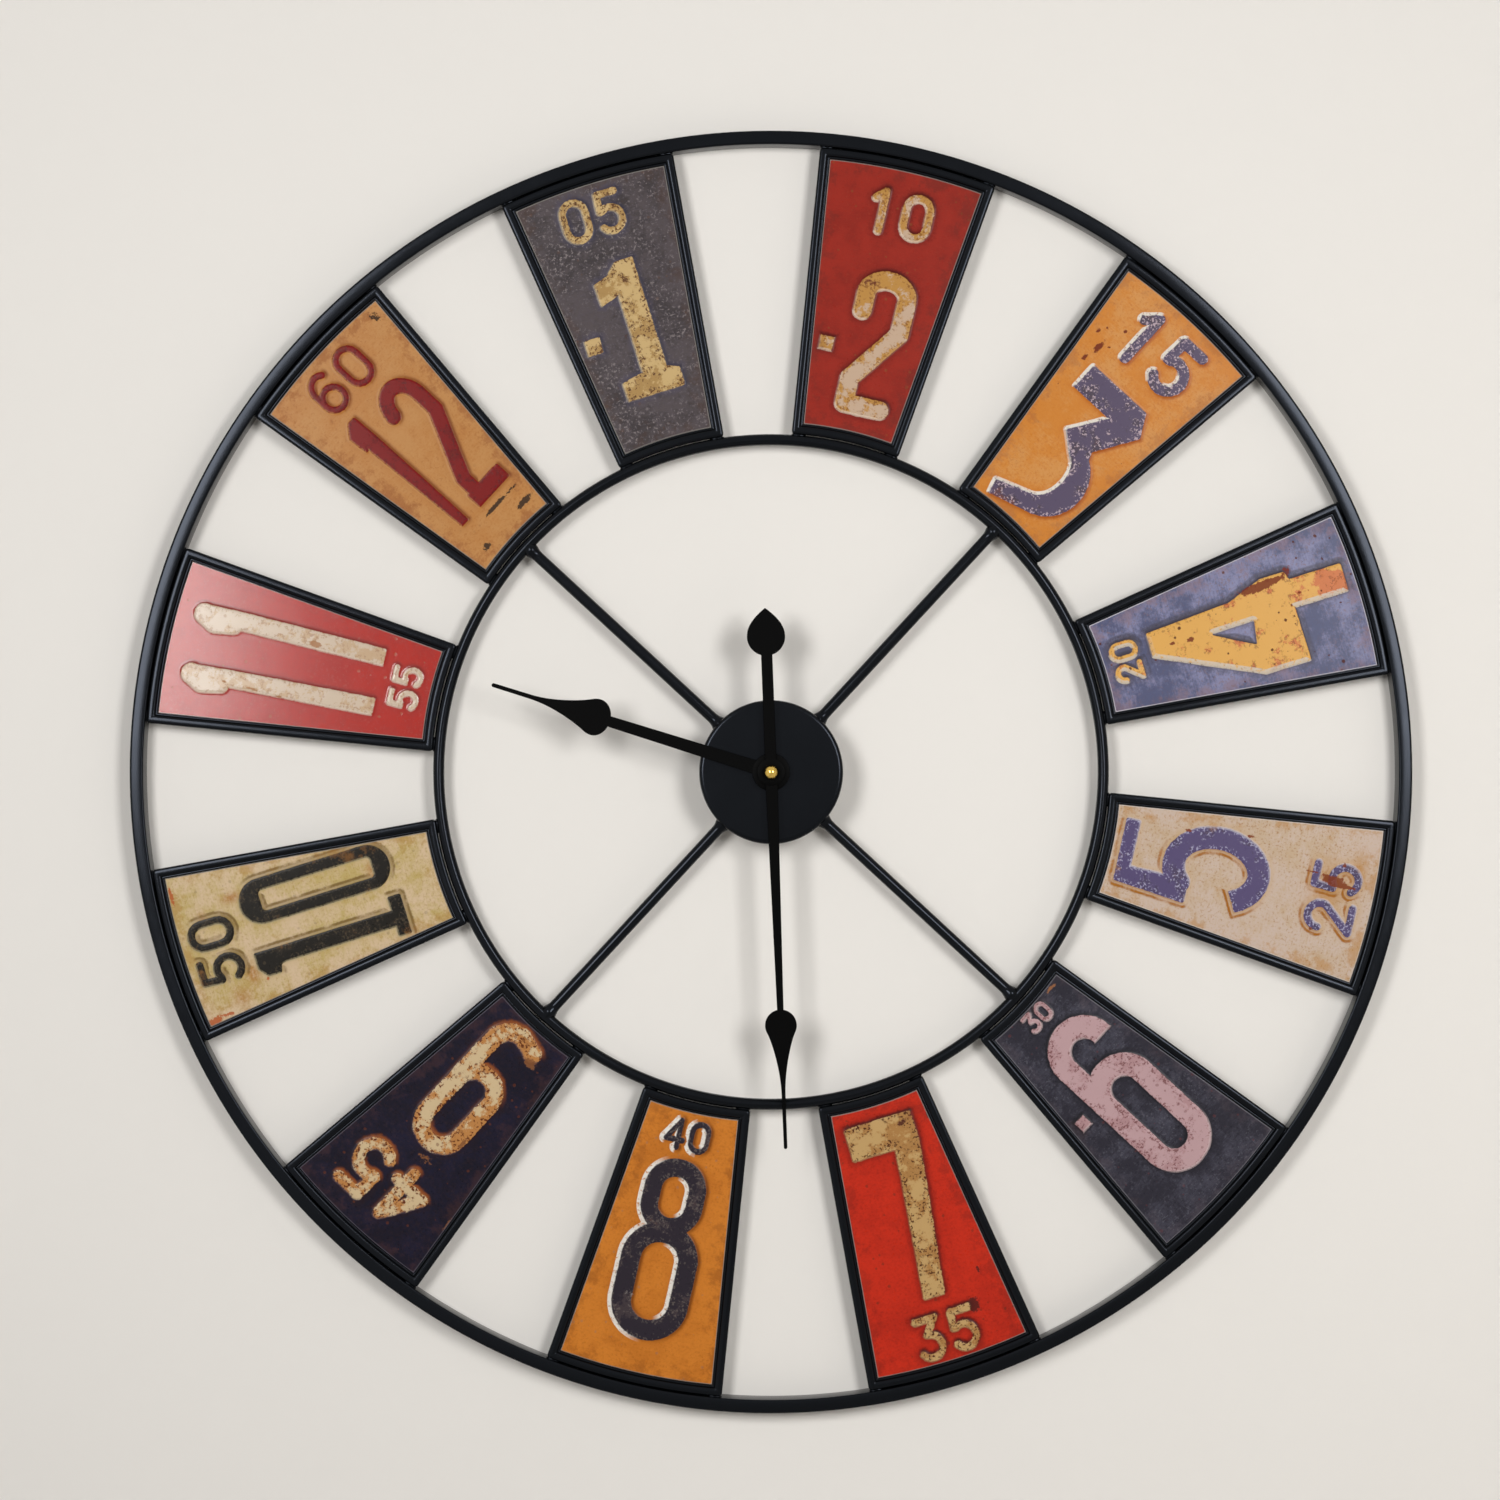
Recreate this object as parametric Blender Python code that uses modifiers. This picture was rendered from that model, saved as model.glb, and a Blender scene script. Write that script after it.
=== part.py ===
"""Large skeleton wall clock: two steel rings joined by twelve wedge trays with number plates, a hub on
four rods, spade hands and a quartz movement in the hub.

Metres, +Z up.  The clock hangs on a wall in the plane y = 0 and faces -Y, with 12 o'clock at +Z.
Every piece is drawn on the dial: x to the right, y to 12 o'clock and z off the wall towards the viewer.
One empty, called dial, stands that drawing upright.
"""

import math

import bmesh
import bpy
from mathutils import Matrix, Vector
from mathutils.geometry import interpolate_bezier

# Clearances
WELD_GAP = 0.0004            # between two pieces that are welded together
SEAT_GAP = 0.0003            # between a piece and what it rests on
RUN_GAP = 0.0003             # all round a shaft in its bore
GEAR_CLEARANCE = 0.0006      # between a wheel's teeth and the walls beside them
HAND_CLEARANCE = 0.0007      # between a hand and the piece below it

# Rings and struts
RING_RADIUS = 0.400          # outside of the outer ring
RING_BAR_WIDTH = 0.0085
RING_BAR_DEPTH = 0.016
RING_BAR_EDGE = 0.0012       # chamfer of the bar's long edges
INNER_RING_RADIUS = 0.211    # outside of the inner ring
ROD_RADIUS = 0.0035          # rod of the inner ring and of the struts
ROD_DEPTH = 0.012            # the rods' centre line off the wall
STRUT_HOURS = (12, 3, 6, 9)
HOUR_ANGLE = 30              # degrees on the dial

# Wedge trays and number plates
TRAY_INNER_HALF_WIDTH = 0.0341
TRAY_OUTER_HALF_WIDTH = 0.0561
TRAY_CORNER = 0.0026         # rounding of the outline's corners
TRAY_BACK = 0.008            # back of the tray off the wall
TRAY_HEIGHT = 0.0068         # back to the crest of the rim
TRAY_FLOOR = 0.0012
TRAY_BACK_EDGE = 0.0008      # rounding of the pressed edge at the back
RIM_WIDTH = 0.0062
RIM_ROLL = 0.0022            # height of the rolled part of the rim
PLATE_SIDE_GAP = 0.0006
PLATE_THICKNESS = 0.0032
PLATE_EDGE = 0.0004          # chamfer round the printed face
PLATE_ROUGHNESS = 0.40

# Hands, measured from the centre of the dial
HAND_THICKNESS = 0.0010
SPADE_TURN = 28              # degrees of the round base past its widest place
SPADE_SHOULDER = 0.125       # part of the taper that keeps the base's direction
TAPER_BEND = 0.42            # part of the taper that is drawn in to the needle
NEEDLE_SWELL = 1.1           # needle at the taper, in widths of its tip
MINUTE_REST = 225.05         # degrees clockwise from 12, as photographed
MINUTE_TIP = 0.2328
MINUTE_TIP_HALF = 0.0011
MINUTE_TAPER_END = 0.1995
MINUTE_SPADE_CENTRE = 0.1565
MINUTE_SPADE_RADIUS = 0.0098
MINUTE_SPADE_BASE = 1.0      # height of the round base, in its radii
MINUTE_SHAFT_TOP_HALF = 0.0020
MINUTE_SHAFT_HALF = 0.0037
MINUTE_BOSS_RADIUS = 0.0085
TAIL_SHAFT_HALF = 0.0035
TAIL_LEAF_CENTRE = 0.0838
TAIL_LEAF_RADIUS = 0.0118
TAIL_TIP = 0.1014
TAIL_SHOULDER = 0.35         # part of the leaf's end that keeps the full width
TAIL_POINT_START = 0.64      # part of the leaf's end where its point begins
TAIL_POINT_WIDTH = 0.70      # width there, in widths of the leaf
HOUR_REST = 334.65
HOUR_TIP = 0.1810
HOUR_TIP_HALF = 0.00125
HOUR_TAPER_END = 0.1560
HOUR_SPADE_CENTRE = 0.1136
HOUR_SPADE_RADIUS = 0.01145
HOUR_SPADE_BASE = 0.8
HOUR_SHAFT_TOP_HALF = 0.0034
HOUR_SHAFT_HALF = 0.0042
HOUR_BOSS_RADIUS = 0.0115

# Hub and what clamps the movement to it
HUB_DEPTH = 0.030
HUB_WALL = 0.0012
HUB_EDGE_RADIUS = 0.003
MOVEMENT_CLEARANCE = 0.005   # between the movement's corners and the hub's wall
RUBBER_WASHER_RADIUS = 0.0095
RUBBER_WASHER_THICKNESS = 0.0010
BRASS_WASHER_RADIUS = 0.0085
BRASS_WASHER_THICKNESS = 0.0007
NUT_CORNER_RADIUS = 0.0080
NUT_THICKNESS = 0.0022
NUT_SIDES = 6
CAP_NUT_RADIUS = 0.0045
CAP_NUT_COLLAR = 0.0016      # straight part under the dome
CAP_NUT_BORE_DEPTH = 0.0033

# Shafts, from the inside out
ARBOR_RADIUS = 0.0016
HOUR_TUBE_WALL = 0.0007
BUSH_WALL = 0.0011
BUSH_FLANGE_RADIUS = 0.0060
BUSH_FLANGE_THICKNESS = 0.0010
BUSH_PROUD = 0.0004          # bush beyond the fixing nut

# Motion work
MOTION_CENTRES = 0.012       # arbor to the minute wheel
MINUTE_WHEEL_DIRECTION = 40  # degrees clockwise from 12
ARBOR_TEETH = 12
MINUTE_WHEEL_TEETH = 36
MINUTE_PINION_TEETH = 10
HOUR_WHEEL_TEETH = 40
WHEEL_THICKNESS = 0.0015
PINION_OVERHANG = 0.0003     # a pinion is wider than its wheel by this at each side
WHEEL_SPACING = 0.0008       # between the hour wheel and the minute wheel
WHEEL_ARBOR_RADIUS = 0.0012
ADDENDUM = 0.80              # in modules
DEDENDUM = 1.20
TOOTH_ROOT_SHARE = 0.52      # part of the tooth pitch
TOOTH_TIP_SHARE = 0.20

# Movement case, cell and what is in the case
BATTERY_RADIUS = 0.0071
BATTERY_LENGTH = 0.0505
BATTERY_NUB_RADIUS = 0.0027
BATTERY_NUB_LENGTH = 0.0015
BATTERY_EDGE = 0.0006
CONTACT_THICKNESS = 0.0004
CONTACT_HALF_WIDTH = 0.0035
CONTACT_HEIGHT = 0.0100
SPRING_TRAVEL = 0.0007       # bulge of the minus contact
CASE_DEPTH = 0.0165
CASE_WALL = 0.0014
CASE_CORNER = 0.0030
COVER_THICKNESS = 0.0012
KNOB_RADIUS = 0.0050
KNOB_THICKNESS = 0.0034
KNOB_FLUTES = 12
KNOB_FLUTE_DEPTH = 0.0004
KNOB_SOCKET = 0.0022         # depth of the arbor in the knob
COIL_RADIUS = 0.0032
COIL_CORE_RADIUS = 0.0024
COIL_LENGTH = 0.022
COIL_FLANGE = 0.0010
BOARD_WIDTH = 0.0068
BOARD_LENGTH = 0.028
BOARD_THICKNESS = 0.0010

# Hanger bracket behind the tray of 12
HANGER_BELOW_RING = 0.048    # middle of the bracket, from the tray's outer end
HANGER_LENGTH = 0.026
HANGER_SHEET = 0.0010
HANGER_WALL_GAP = 0.0008     # bridge to the wall
HANGER_BRIDGE_HALF = 0.015
HANGER_SLOPE = 0.004
HANGER_FOOT = 0.010
KEYHOLE_HEAD_RADIUS = 0.0050
KEYHOLE_SLOT_RADIUS = 0.0026
KEYHOLE_RISE = 0.0095        # slot's end above the round entry

# Facets
RING_STEPS = 96
ROD_SIDES = 8
HUB_STEPS = 48
SHAFT_SIDES = 12
WASHER_SIDES = 24
ROUND_STEPS = 6              # points on a quarter turn of an outline
ROLL_STEPS = 4
CORNER_STEPS = 4             # on the round corners of the case
TRAY_INNER_STEPS = 2         # on half of a tray's inner end
TRAY_OUTER_STEPS = 3
TRAY_CORNER_STEPS = 2
HUB_EDGE_STEPS = 4
TIP_STEPS = 3
FLUTE_STEPS = 4
SMOOTH_ANGLE = math.radians(35)
WELD_DISTANCE = 1e-5
CUT_MARGIN = 0.001           # how far a cutter runs past what it cuts

# Rings and trays that follow from these
RING_INSIDE = RING_RADIUS - RING_BAR_WIDTH
TRAY_INNER_RADIUS = INNER_RING_RADIUS + WELD_GAP
TRAY_OUTER_RADIUS = RING_INSIDE - WELD_GAP
TRAY_CREST = TRAY_BACK + TRAY_HEIGHT
TRAY_FLOOR_TOP = TRAY_BACK + TRAY_FLOOR
PLATE_LOW = TRAY_FLOOR_TOP + SEAT_GAP
PLATE_HIGH = PLATE_LOW + PLATE_THICKNESS

# Radii of the shafts in each other
HOUR_TUBE_BORE = ARBOR_RADIUS + RUN_GAP
HOUR_TUBE_RADIUS = HOUR_TUBE_BORE + HOUR_TUBE_WALL
BUSH_BORE = HOUR_TUBE_RADIUS + RUN_GAP
BUSH_RADIUS = BUSH_BORE + BUSH_WALL
BUSH_HOLE = BUSH_RADIUS + RUN_GAP

# Depths of the stack on the hub's axis, from the hub's front plate backwards
RUBBER_HIGH = HUB_DEPTH - HUB_WALL - SEAT_GAP
CASE_FRONT = RUBBER_HIGH - RUBBER_WASHER_THICKNESS - SEAT_GAP
CASE_FLOOR = CASE_FRONT - CASE_WALL
CASE_BACK = CASE_FRONT - CASE_DEPTH
COVER_HIGH = CASE_BACK - SEAT_GAP
COVER_LOW = COVER_HIGH - COVER_THICKNESS
FLANGE_HIGH = CASE_FLOOR - SEAT_GAP
FLANGE_LOW = FLANGE_HIGH - BUSH_FLANGE_THICKNESS
HOUR_WHEEL_HIGH = FLANGE_LOW - SEAT_GAP
HOUR_WHEEL_LOW = HOUR_WHEEL_HIGH - WHEEL_THICKNESS
MINUTE_WHEEL_HIGH = HOUR_WHEEL_LOW - WHEEL_SPACING
MINUTE_WHEEL_LOW = MINUTE_WHEEL_HIGH - WHEEL_THICKNESS
KNOB_HIGH = COVER_LOW - SEAT_GAP
KNOB_LOW = KNOB_HIGH - KNOB_THICKNESS

# Depths of the stack from the hub's front plate towards the viewer
BRASS_LOW = HUB_DEPTH + SEAT_GAP
NUT_LOW = BRASS_LOW + BRASS_WASHER_THICKNESS + SEAT_GAP
NUT_HIGH = NUT_LOW + NUT_THICKNESS
BUSH_HIGH = NUT_HIGH + BUSH_PROUD
HOUR_HAND_LOW = BUSH_HIGH + HAND_CLEARANCE
HOUR_TUBE_HIGH = HOUR_HAND_LOW + HAND_THICKNESS + SEAT_GAP
MINUTE_HAND_LOW = HOUR_TUBE_HIGH + HAND_CLEARANCE
CAP_NUT_LOW = MINUTE_HAND_LOW + HAND_THICKNESS + SEAT_GAP
ARBOR_HIGH = CAP_NUT_LOW + CAP_NUT_BORE_DEPTH - SEAT_GAP

# Wheels
ARBOR_MODULE = 2 * MOTION_CENTRES / (ARBOR_TEETH + MINUTE_WHEEL_TEETH)
HOUR_MODULE = 2 * MOTION_CENTRES / (MINUTE_PINION_TEETH + HOUR_WHEEL_TEETH)
HOUR_WHEEL_RADIUS = (HOUR_WHEEL_TEETH / 2 + ADDENDUM) * HOUR_MODULE
MESH_DIRECTION = math.radians(90 - MINUTE_WHEEL_DIRECTION)
MINUTE_WHEEL_PLACE = (
    MOTION_CENTRES * math.cos(MESH_DIRECTION),
    MOTION_CENTRES * math.sin(MESH_DIRECTION),
    0.0,
)

# The case: as wide as the cell and its contacts, with the cell's bay under the wheels
PLUS_SPACE = SEAT_GAP + CONTACT_THICKNESS + SEAT_GAP
MINUS_SPACE = PLUS_SPACE + SPRING_TRAVEL
BAY_HALF = (BATTERY_LENGTH + PLUS_SPACE + MINUS_SPACE) / 2
CASE_HALF = BAY_HALF + CASE_WALL
BAY_TOP = -HOUR_WHEEL_RADIUS - GEAR_CLEARANCE - CASE_WALL
BAY_BOTTOM = BAY_TOP - 2 * (BATTERY_RADIUS + SEAT_GAP)
CASE_BOTTOM = BAY_BOTTOM - CASE_WALL
CASE_TOP = CASE_BOTTOM + 2 * CASE_HALF
CASE_CORNER_REACH = CASE_CORNER + math.hypot(
    CASE_HALF - CASE_CORNER,
    max(CASE_TOP, -CASE_BOTTOM) - CASE_CORNER,
)
HUB_RADIUS = CASE_CORNER_REACH + MOVEMENT_CLEARANCE + HUB_WALL
BATTERY_HEIGHT = (BAY_TOP + BAY_BOTTOM) / 2
BATTERY_DEPTH = CASE_FLOOR - SEAT_GAP - BATTERY_RADIUS

# Colours as seen: one per number plate, in the order of the hours
PLATE_COLOURS = (
    "4A4547", "A92A24", "DE8E32", "6E7590", "DEC7A0", "46444A",
    "CC2A1A", "D98522", "2B2738", "DCC894", "B33A33", "D89A4A",
)
BLACK_PAINT = ("black_paint", "17181B", 0.45, 0.0)
HAND_PAINT = ("hand_paint", "0C0C0D", 0.60, 0.0)
BRASS = ("brass", "C9A24A", 0.22, 1.0)
STEEL = ("steel", "B8B8B4", 0.35, 1.0)
CASE_PLASTIC = ("case_plastic", "1D1D1F", 0.55, 0.0)
WHEEL_PLASTIC = ("wheel_plastic", "E6E2D6", 0.50, 0.0)
RUBBER = ("rubber", "121212", 0.80, 0.0)
COPPER = ("coil_wire", "A4552C", 0.40, 1.0)
BOARD_GREEN = ("board_green", "1F5A33", 0.50, 0.0)
CELL_SLEEVE = ("cell_sleeve", "8C8E90", 0.40, 0.2)


def clear_scene():
    for old in list(bpy.data.objects):
        bpy.data.objects.remove(old, do_unlink=True)


def new_collection(name):
    group = bpy.data.collections.new(name)
    bpy.context.scene.collection.children.link(group)
    return group


def linear(hex_colour):
    """Scene-linear RGBA of a colour written as six hexadecimal digits."""
    channels = []
    for start in (0, 2, 4):
        value = int(hex_colour[start:start + 2], 16) / 255
        channels.append(value / 12.92 if value <= 0.04045 else ((value + 0.055) / 1.055) ** 2.4)
    return (*channels, 1.0)


def finish(name, hex_colour, roughness, metallic):
    """Principled material, made once under its name."""
    material = bpy.data.materials.get(name)
    if material is None:
        material = bpy.data.materials.new(name)
        material.use_nodes = True
        shader = material.node_tree.nodes["Principled BSDF"]
        shader.inputs["Base Color"].default_value = linear(hex_colour)
        shader.inputs["Roughness"].default_value = roughness
        shader.inputs["Metallic"].default_value = metallic
    return material


def add_empty(name, place, parent):
    empty = bpy.data.objects.new(name, None)
    empty.location = place
    empty.parent = parent
    parts.objects.link(empty)
    return empty


def add_part(name, mesh, look, parent, clockwise=0.0):
    """One piece of the clock, turned clockwise on the dial by an angle in degrees."""
    part = bpy.data.objects.new(name, mesh)
    part.parent = parent
    part.rotation_euler.z = -math.radians(clockwise)
    parts.objects.link(part)
    if not mesh.materials:
        mesh.materials.append(None)
    part.material_slots[0].link = "OBJECT"
    part.material_slots[0].material = finish(*look)
    return part


def add_cutter(name, mesh, parent):
    tool = bpy.data.objects.new(name, mesh)
    tool.parent = parent
    tool.hide_render = True
    tool.display_type = "WIRE"
    cutters.objects.link(tool)
    return tool


def combine(part, operation, tool):
    """Live Boolean of one object with another: DIFFERENCE or UNION."""
    step = part.modifiers.new(tool.name, "BOOLEAN")
    step.operation = operation
    step.solver = "EXACT"
    step.object = tool


def smooth(mesh):
    mesh.shade_smooth()
    mesh.set_sharp_from_angle(angle=SMOOTH_ANGLE)
    return mesh


def mesh_of(name, drawing):
    mesh = bpy.data.meshes.new(name)
    drawing.to_mesh(mesh)
    drawing.free()
    return smooth(mesh)


def flat_mesh(name, outlines, low, high):
    """Flat piece between two depths: the first outline is its edge and any others are holes."""
    curve = bpy.data.curves.new(name, "CURVE")
    curve.dimensions = "2D"
    curve.fill_mode = "BOTH"
    curve.extrude = (high - low) / 2
    for outline in outlines:
        spline = curve.splines.new("POLY")
        spline.points.add(len(outline) - 1)
        for point, place in zip(spline.points, outline):
            point.co = (place[0], place[1], 0.0, 1.0)
        spline.use_cyclic_u = True
    sketch = bpy.data.objects.new(name, curve)
    mesh = bpy.data.meshes.new_from_object(sketch)
    bpy.data.objects.remove(sketch)
    bpy.data.curves.remove(curve)
    drawing = bmesh.new()
    drawing.from_mesh(mesh)
    bpy.data.meshes.remove(mesh)
    bmesh.ops.remove_doubles(drawing, verts=drawing.verts, dist=WELD_DISTANCE)
    bmesh.ops.recalc_face_normals(drawing, faces=drawing.faces)
    bmesh.ops.translate(drawing, verts=drawing.verts, vec=(0.0, 0.0, (low + high) / 2))
    return mesh_of(name, drawing)


def loft_mesh(name, sections):
    """Closed body through outlines of equal count, each a list of points at one depth."""
    drawing = bmesh.new()
    rings = [[drawing.verts.new(point) for point in section] for section in sections]
    for lower, upper in zip(rings, rings[1:]):
        for index in range(len(lower)):
            nearby = index - 1
            drawing.faces.new((lower[nearby], lower[index], upper[index], upper[nearby]))
    drawing.faces.new(rings[0][::-1])
    drawing.faces.new(rings[-1])
    return mesh_of(name, drawing)


def box_mesh(name, low, high, corner=0.0):
    """Box between two corners; its four edges along the depth can be rounded."""
    drawing = bmesh.new()
    bmesh.ops.create_cube(drawing, size=1.0)
    low = Vector(low)
    high = Vector(high)
    bmesh.ops.scale(drawing, vec=high - low, verts=drawing.verts)
    bmesh.ops.translate(drawing, vec=(high + low) / 2, verts=drawing.verts)
    if corner:
        edges = [edge for edge in drawing.edges if edge.verts[0].co.xy == edge.verts[1].co.xy]
        bmesh.ops.bevel(
            drawing, geom=edges, offset=corner, segments=CORNER_STEPS, profile=0.5, affect="EDGES",
        )
    return mesh_of(name, drawing)


def rod_mesh(name, radius, low, high, sides):
    """Plain round bar along the depth."""
    drawing = bmesh.new()
    bmesh.ops.create_cone(
        drawing, cap_ends=True, segments=sides, radius1=radius, radius2=radius, depth=high - low,
    )
    bmesh.ops.translate(drawing, verts=drawing.verts, vec=(0.0, 0.0, (low + high) / 2))
    return mesh_of(name, drawing)


def profile_mesh(name, points, closed):
    """Profile of a turned piece in the x-z plane, for spin()."""
    mesh = bpy.data.meshes.new(name)
    count = len(points)
    edges = [(index, index + 1) for index in range(count - 1)]
    if closed:
        edges.append((count - 1, 0))
    mesh.from_pydata([(radius, 0.0, depth) for radius, depth in points], edges, [])
    return mesh


def spin(part, steps):
    """Turn the part's profile once round the z axis."""
    screw = part.modifiers.new("turned", "SCREW")
    screw.axis = "Z"
    screw.angle = 2 * math.pi
    screw.steps = steps
    screw.render_steps = steps
    screw.use_merge_vertices = True
    screw.merge_threshold = WELD_DISTANCE
    screw.use_smooth_shade = True


def arc(centre, radius, start, stop, count):
    """Points on an arc from one angle to another, both included, in degrees from +x."""
    points = []
    for index in range(count + 1):
        angle = math.radians(start + (stop - start) * index / count)
        points.append((centre[0] + radius * math.cos(angle), centre[1] + radius * math.sin(angle)))
    return points


def circle(radius, sides):
    return arc((0.0, 0.0), radius, 0, 360, sides)[:-1]


def curve_points(start, handle, other_handle, stop, count):
    """Bezier points between start and stop, without the first."""
    knots = (Vector((*point, 0.0)) for point in (start, handle, other_handle, stop))
    return [(point.x, point.y) for point in interpolate_bezier(*knots, count + 1)][1:]


def mirrored(right_half):
    """Whole outline from its right half, drawn from the lower end of the middle line to the upper."""
    left_half = [(-x, y) for x, y in reversed(right_half) if x > WELD_DISTANCE]
    return right_half + left_half


def at_depth(outline, depth):
    return [(x, y, depth) for x, y in outline]


def add_outer_ring():
    edge = RING_BAR_EDGE
    bar = [
        (RING_RADIUS - edge, RING_BAR_DEPTH),
        (RING_RADIUS, RING_BAR_DEPTH - edge),
        (RING_RADIUS, edge),
        (RING_RADIUS - edge, 0.0),
        (RING_INSIDE + edge, 0.0),
        (RING_INSIDE, edge),
        (RING_INSIDE, RING_BAR_DEPTH - edge),
        (RING_INSIDE + edge, RING_BAR_DEPTH),
    ]
    ring = add_part("outer_ring", profile_mesh("outer_ring", bar, closed=True), BLACK_PAINT, dial)
    spin(ring, RING_STEPS)


def torus_mesh(name, rod_radius):
    """Round rod bent to the inner ring's circle, on the rods' depth."""
    bpy.ops.mesh.primitive_torus_add(
        major_radius=INNER_RING_RADIUS - ROD_RADIUS,
        minor_radius=rod_radius,
        major_segments=RING_STEPS,
        minor_segments=ROD_SIDES,
    )
    helper = bpy.context.object
    mesh = helper.data
    mesh.name = name
    bpy.data.objects.remove(helper)
    mesh.transform(Matrix.Translation((0.0, 0.0, ROD_DEPTH)))
    return smooth(mesh)


def add_struts():
    """Four equal rods, coped at both ends to the hub's wall and to the inner ring."""
    blank = rod_mesh("strut", ROD_RADIUS, 0.0, INNER_RING_RADIUS - ROD_RADIUS, ROD_SIDES)
    hub_seat = add_cutter(
        "strut_hub_seat",
        rod_mesh("strut_hub_seat", HUB_RADIUS + WELD_GAP, -CUT_MARGIN, HUB_DEPTH, HUB_STEPS),
        dial,
    )
    ring_seat = add_cutter("strut_ring_seat", torus_mesh("strut_ring_seat", ROD_RADIUS + WELD_GAP), dial)
    for hour in STRUT_HOURS:
        spoke = add_empty(f"spoke_{hour:02d}", (0.0, 0.0, ROD_DEPTH), dial)
        spoke.rotation_euler.z = -math.radians(HOUR_ANGLE * hour)
        strut = add_part(f"strut_{hour:02d}", blank, BLACK_PAINT, spoke)
        strut.rotation_euler = (-math.pi / 2, 0.0, 0.0)
        combine(strut, "DIFFERENCE", hub_seat)
        combine(strut, "DIFFERENCE", ring_seat)


def wedge_outline(inset):
    """Tray outline pulled in by inset: straight sides, ends concentric with the rings, round corners."""
    inner = TRAY_INNER_RADIUS + inset
    outer = TRAY_OUTER_RADIUS - inset
    foot = Vector((TRAY_INNER_HALF_WIDTH, math.sqrt(TRAY_INNER_RADIUS**2 - TRAY_INNER_HALF_WIDTH**2)))
    head = Vector((TRAY_OUTER_HALF_WIDTH, math.sqrt(TRAY_OUTER_RADIUS**2 - TRAY_OUTER_HALF_WIDTH**2)))
    along = (head - foot).normalized()
    start = foot + inset * Vector((-along.y, along.x))

    def meet(radius):
        """Where the pulled-in side crosses a circle round the dial's centre."""
        middle = start.dot(along)
        return start + along * (math.sqrt(middle**2 - start.length_squared + radius**2) - middle)

    low = meet(inner)
    high = meet(outer)
    corner = max(TRAY_CORNER - inset, TRAY_CORNER / 4)
    low_angle = math.degrees(math.atan2(low.y, low.x) + corner / inner)
    high_angle = math.degrees(math.atan2(high.y, high.x) + corner / outer)
    inner_arc = arc((0.0, 0.0), inner, 90, low_angle, TRAY_INNER_STEPS)
    outer_arc = arc((0.0, 0.0), outer, high_angle, 90, TRAY_OUTER_STEPS)
    side_low = low + along * corner
    side_high = high - along * corner
    right = inner_arc
    right += curve_points(inner_arc[-1], low, low, side_low, TRAY_CORNER_STEPS)
    right += [(side_high.x, side_high.y)]
    right += curve_points(side_high, high, high, outer_arc[0], TRAY_CORNER_STEPS)
    right += outer_arc[1:]
    return mirrored(right)


def add_trays():
    """Twelve trays with a rolled rim, and the plate that lies in each."""
    sections = [
        at_depth(wedge_outline(TRAY_BACK_EDGE), TRAY_BACK),
        at_depth(wedge_outline(0.0), TRAY_BACK + TRAY_BACK_EDGE),
    ]
    for step in range(ROLL_STEPS + 1):
        turn = math.pi * step / ROLL_STEPS
        inset = RIM_WIDTH / 2 * (1 - math.cos(turn))
        depth = TRAY_CREST - RIM_ROLL * (1 - math.sin(turn))
        sections.append(at_depth(wedge_outline(inset), depth))
    sections.append(at_depth(wedge_outline(RIM_WIDTH), TRAY_FLOOR_TOP))
    tray = loft_mesh("tray", sections)

    plate_inset = RIM_WIDTH + PLATE_SIDE_GAP
    plate = loft_mesh("number_plate", [
        at_depth(wedge_outline(plate_inset), PLATE_LOW),
        at_depth(wedge_outline(plate_inset), PLATE_HIGH - PLATE_EDGE),
        at_depth(wedge_outline(plate_inset + PLATE_EDGE), PLATE_HIGH),
    ])
    for hour, colour in enumerate(PLATE_COLOURS, start=1):
        add_part(f"tray_{hour:02d}", tray, BLACK_PAINT, dial, clockwise=HOUR_ANGLE * hour)
        look = (f"plate_print_{hour:02d}", colour, PLATE_ROUGHNESS, 0.0)
        add_part(f"number_plate_{hour:02d}", plate, look, dial, clockwise=HOUR_ANGLE * hour)


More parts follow.
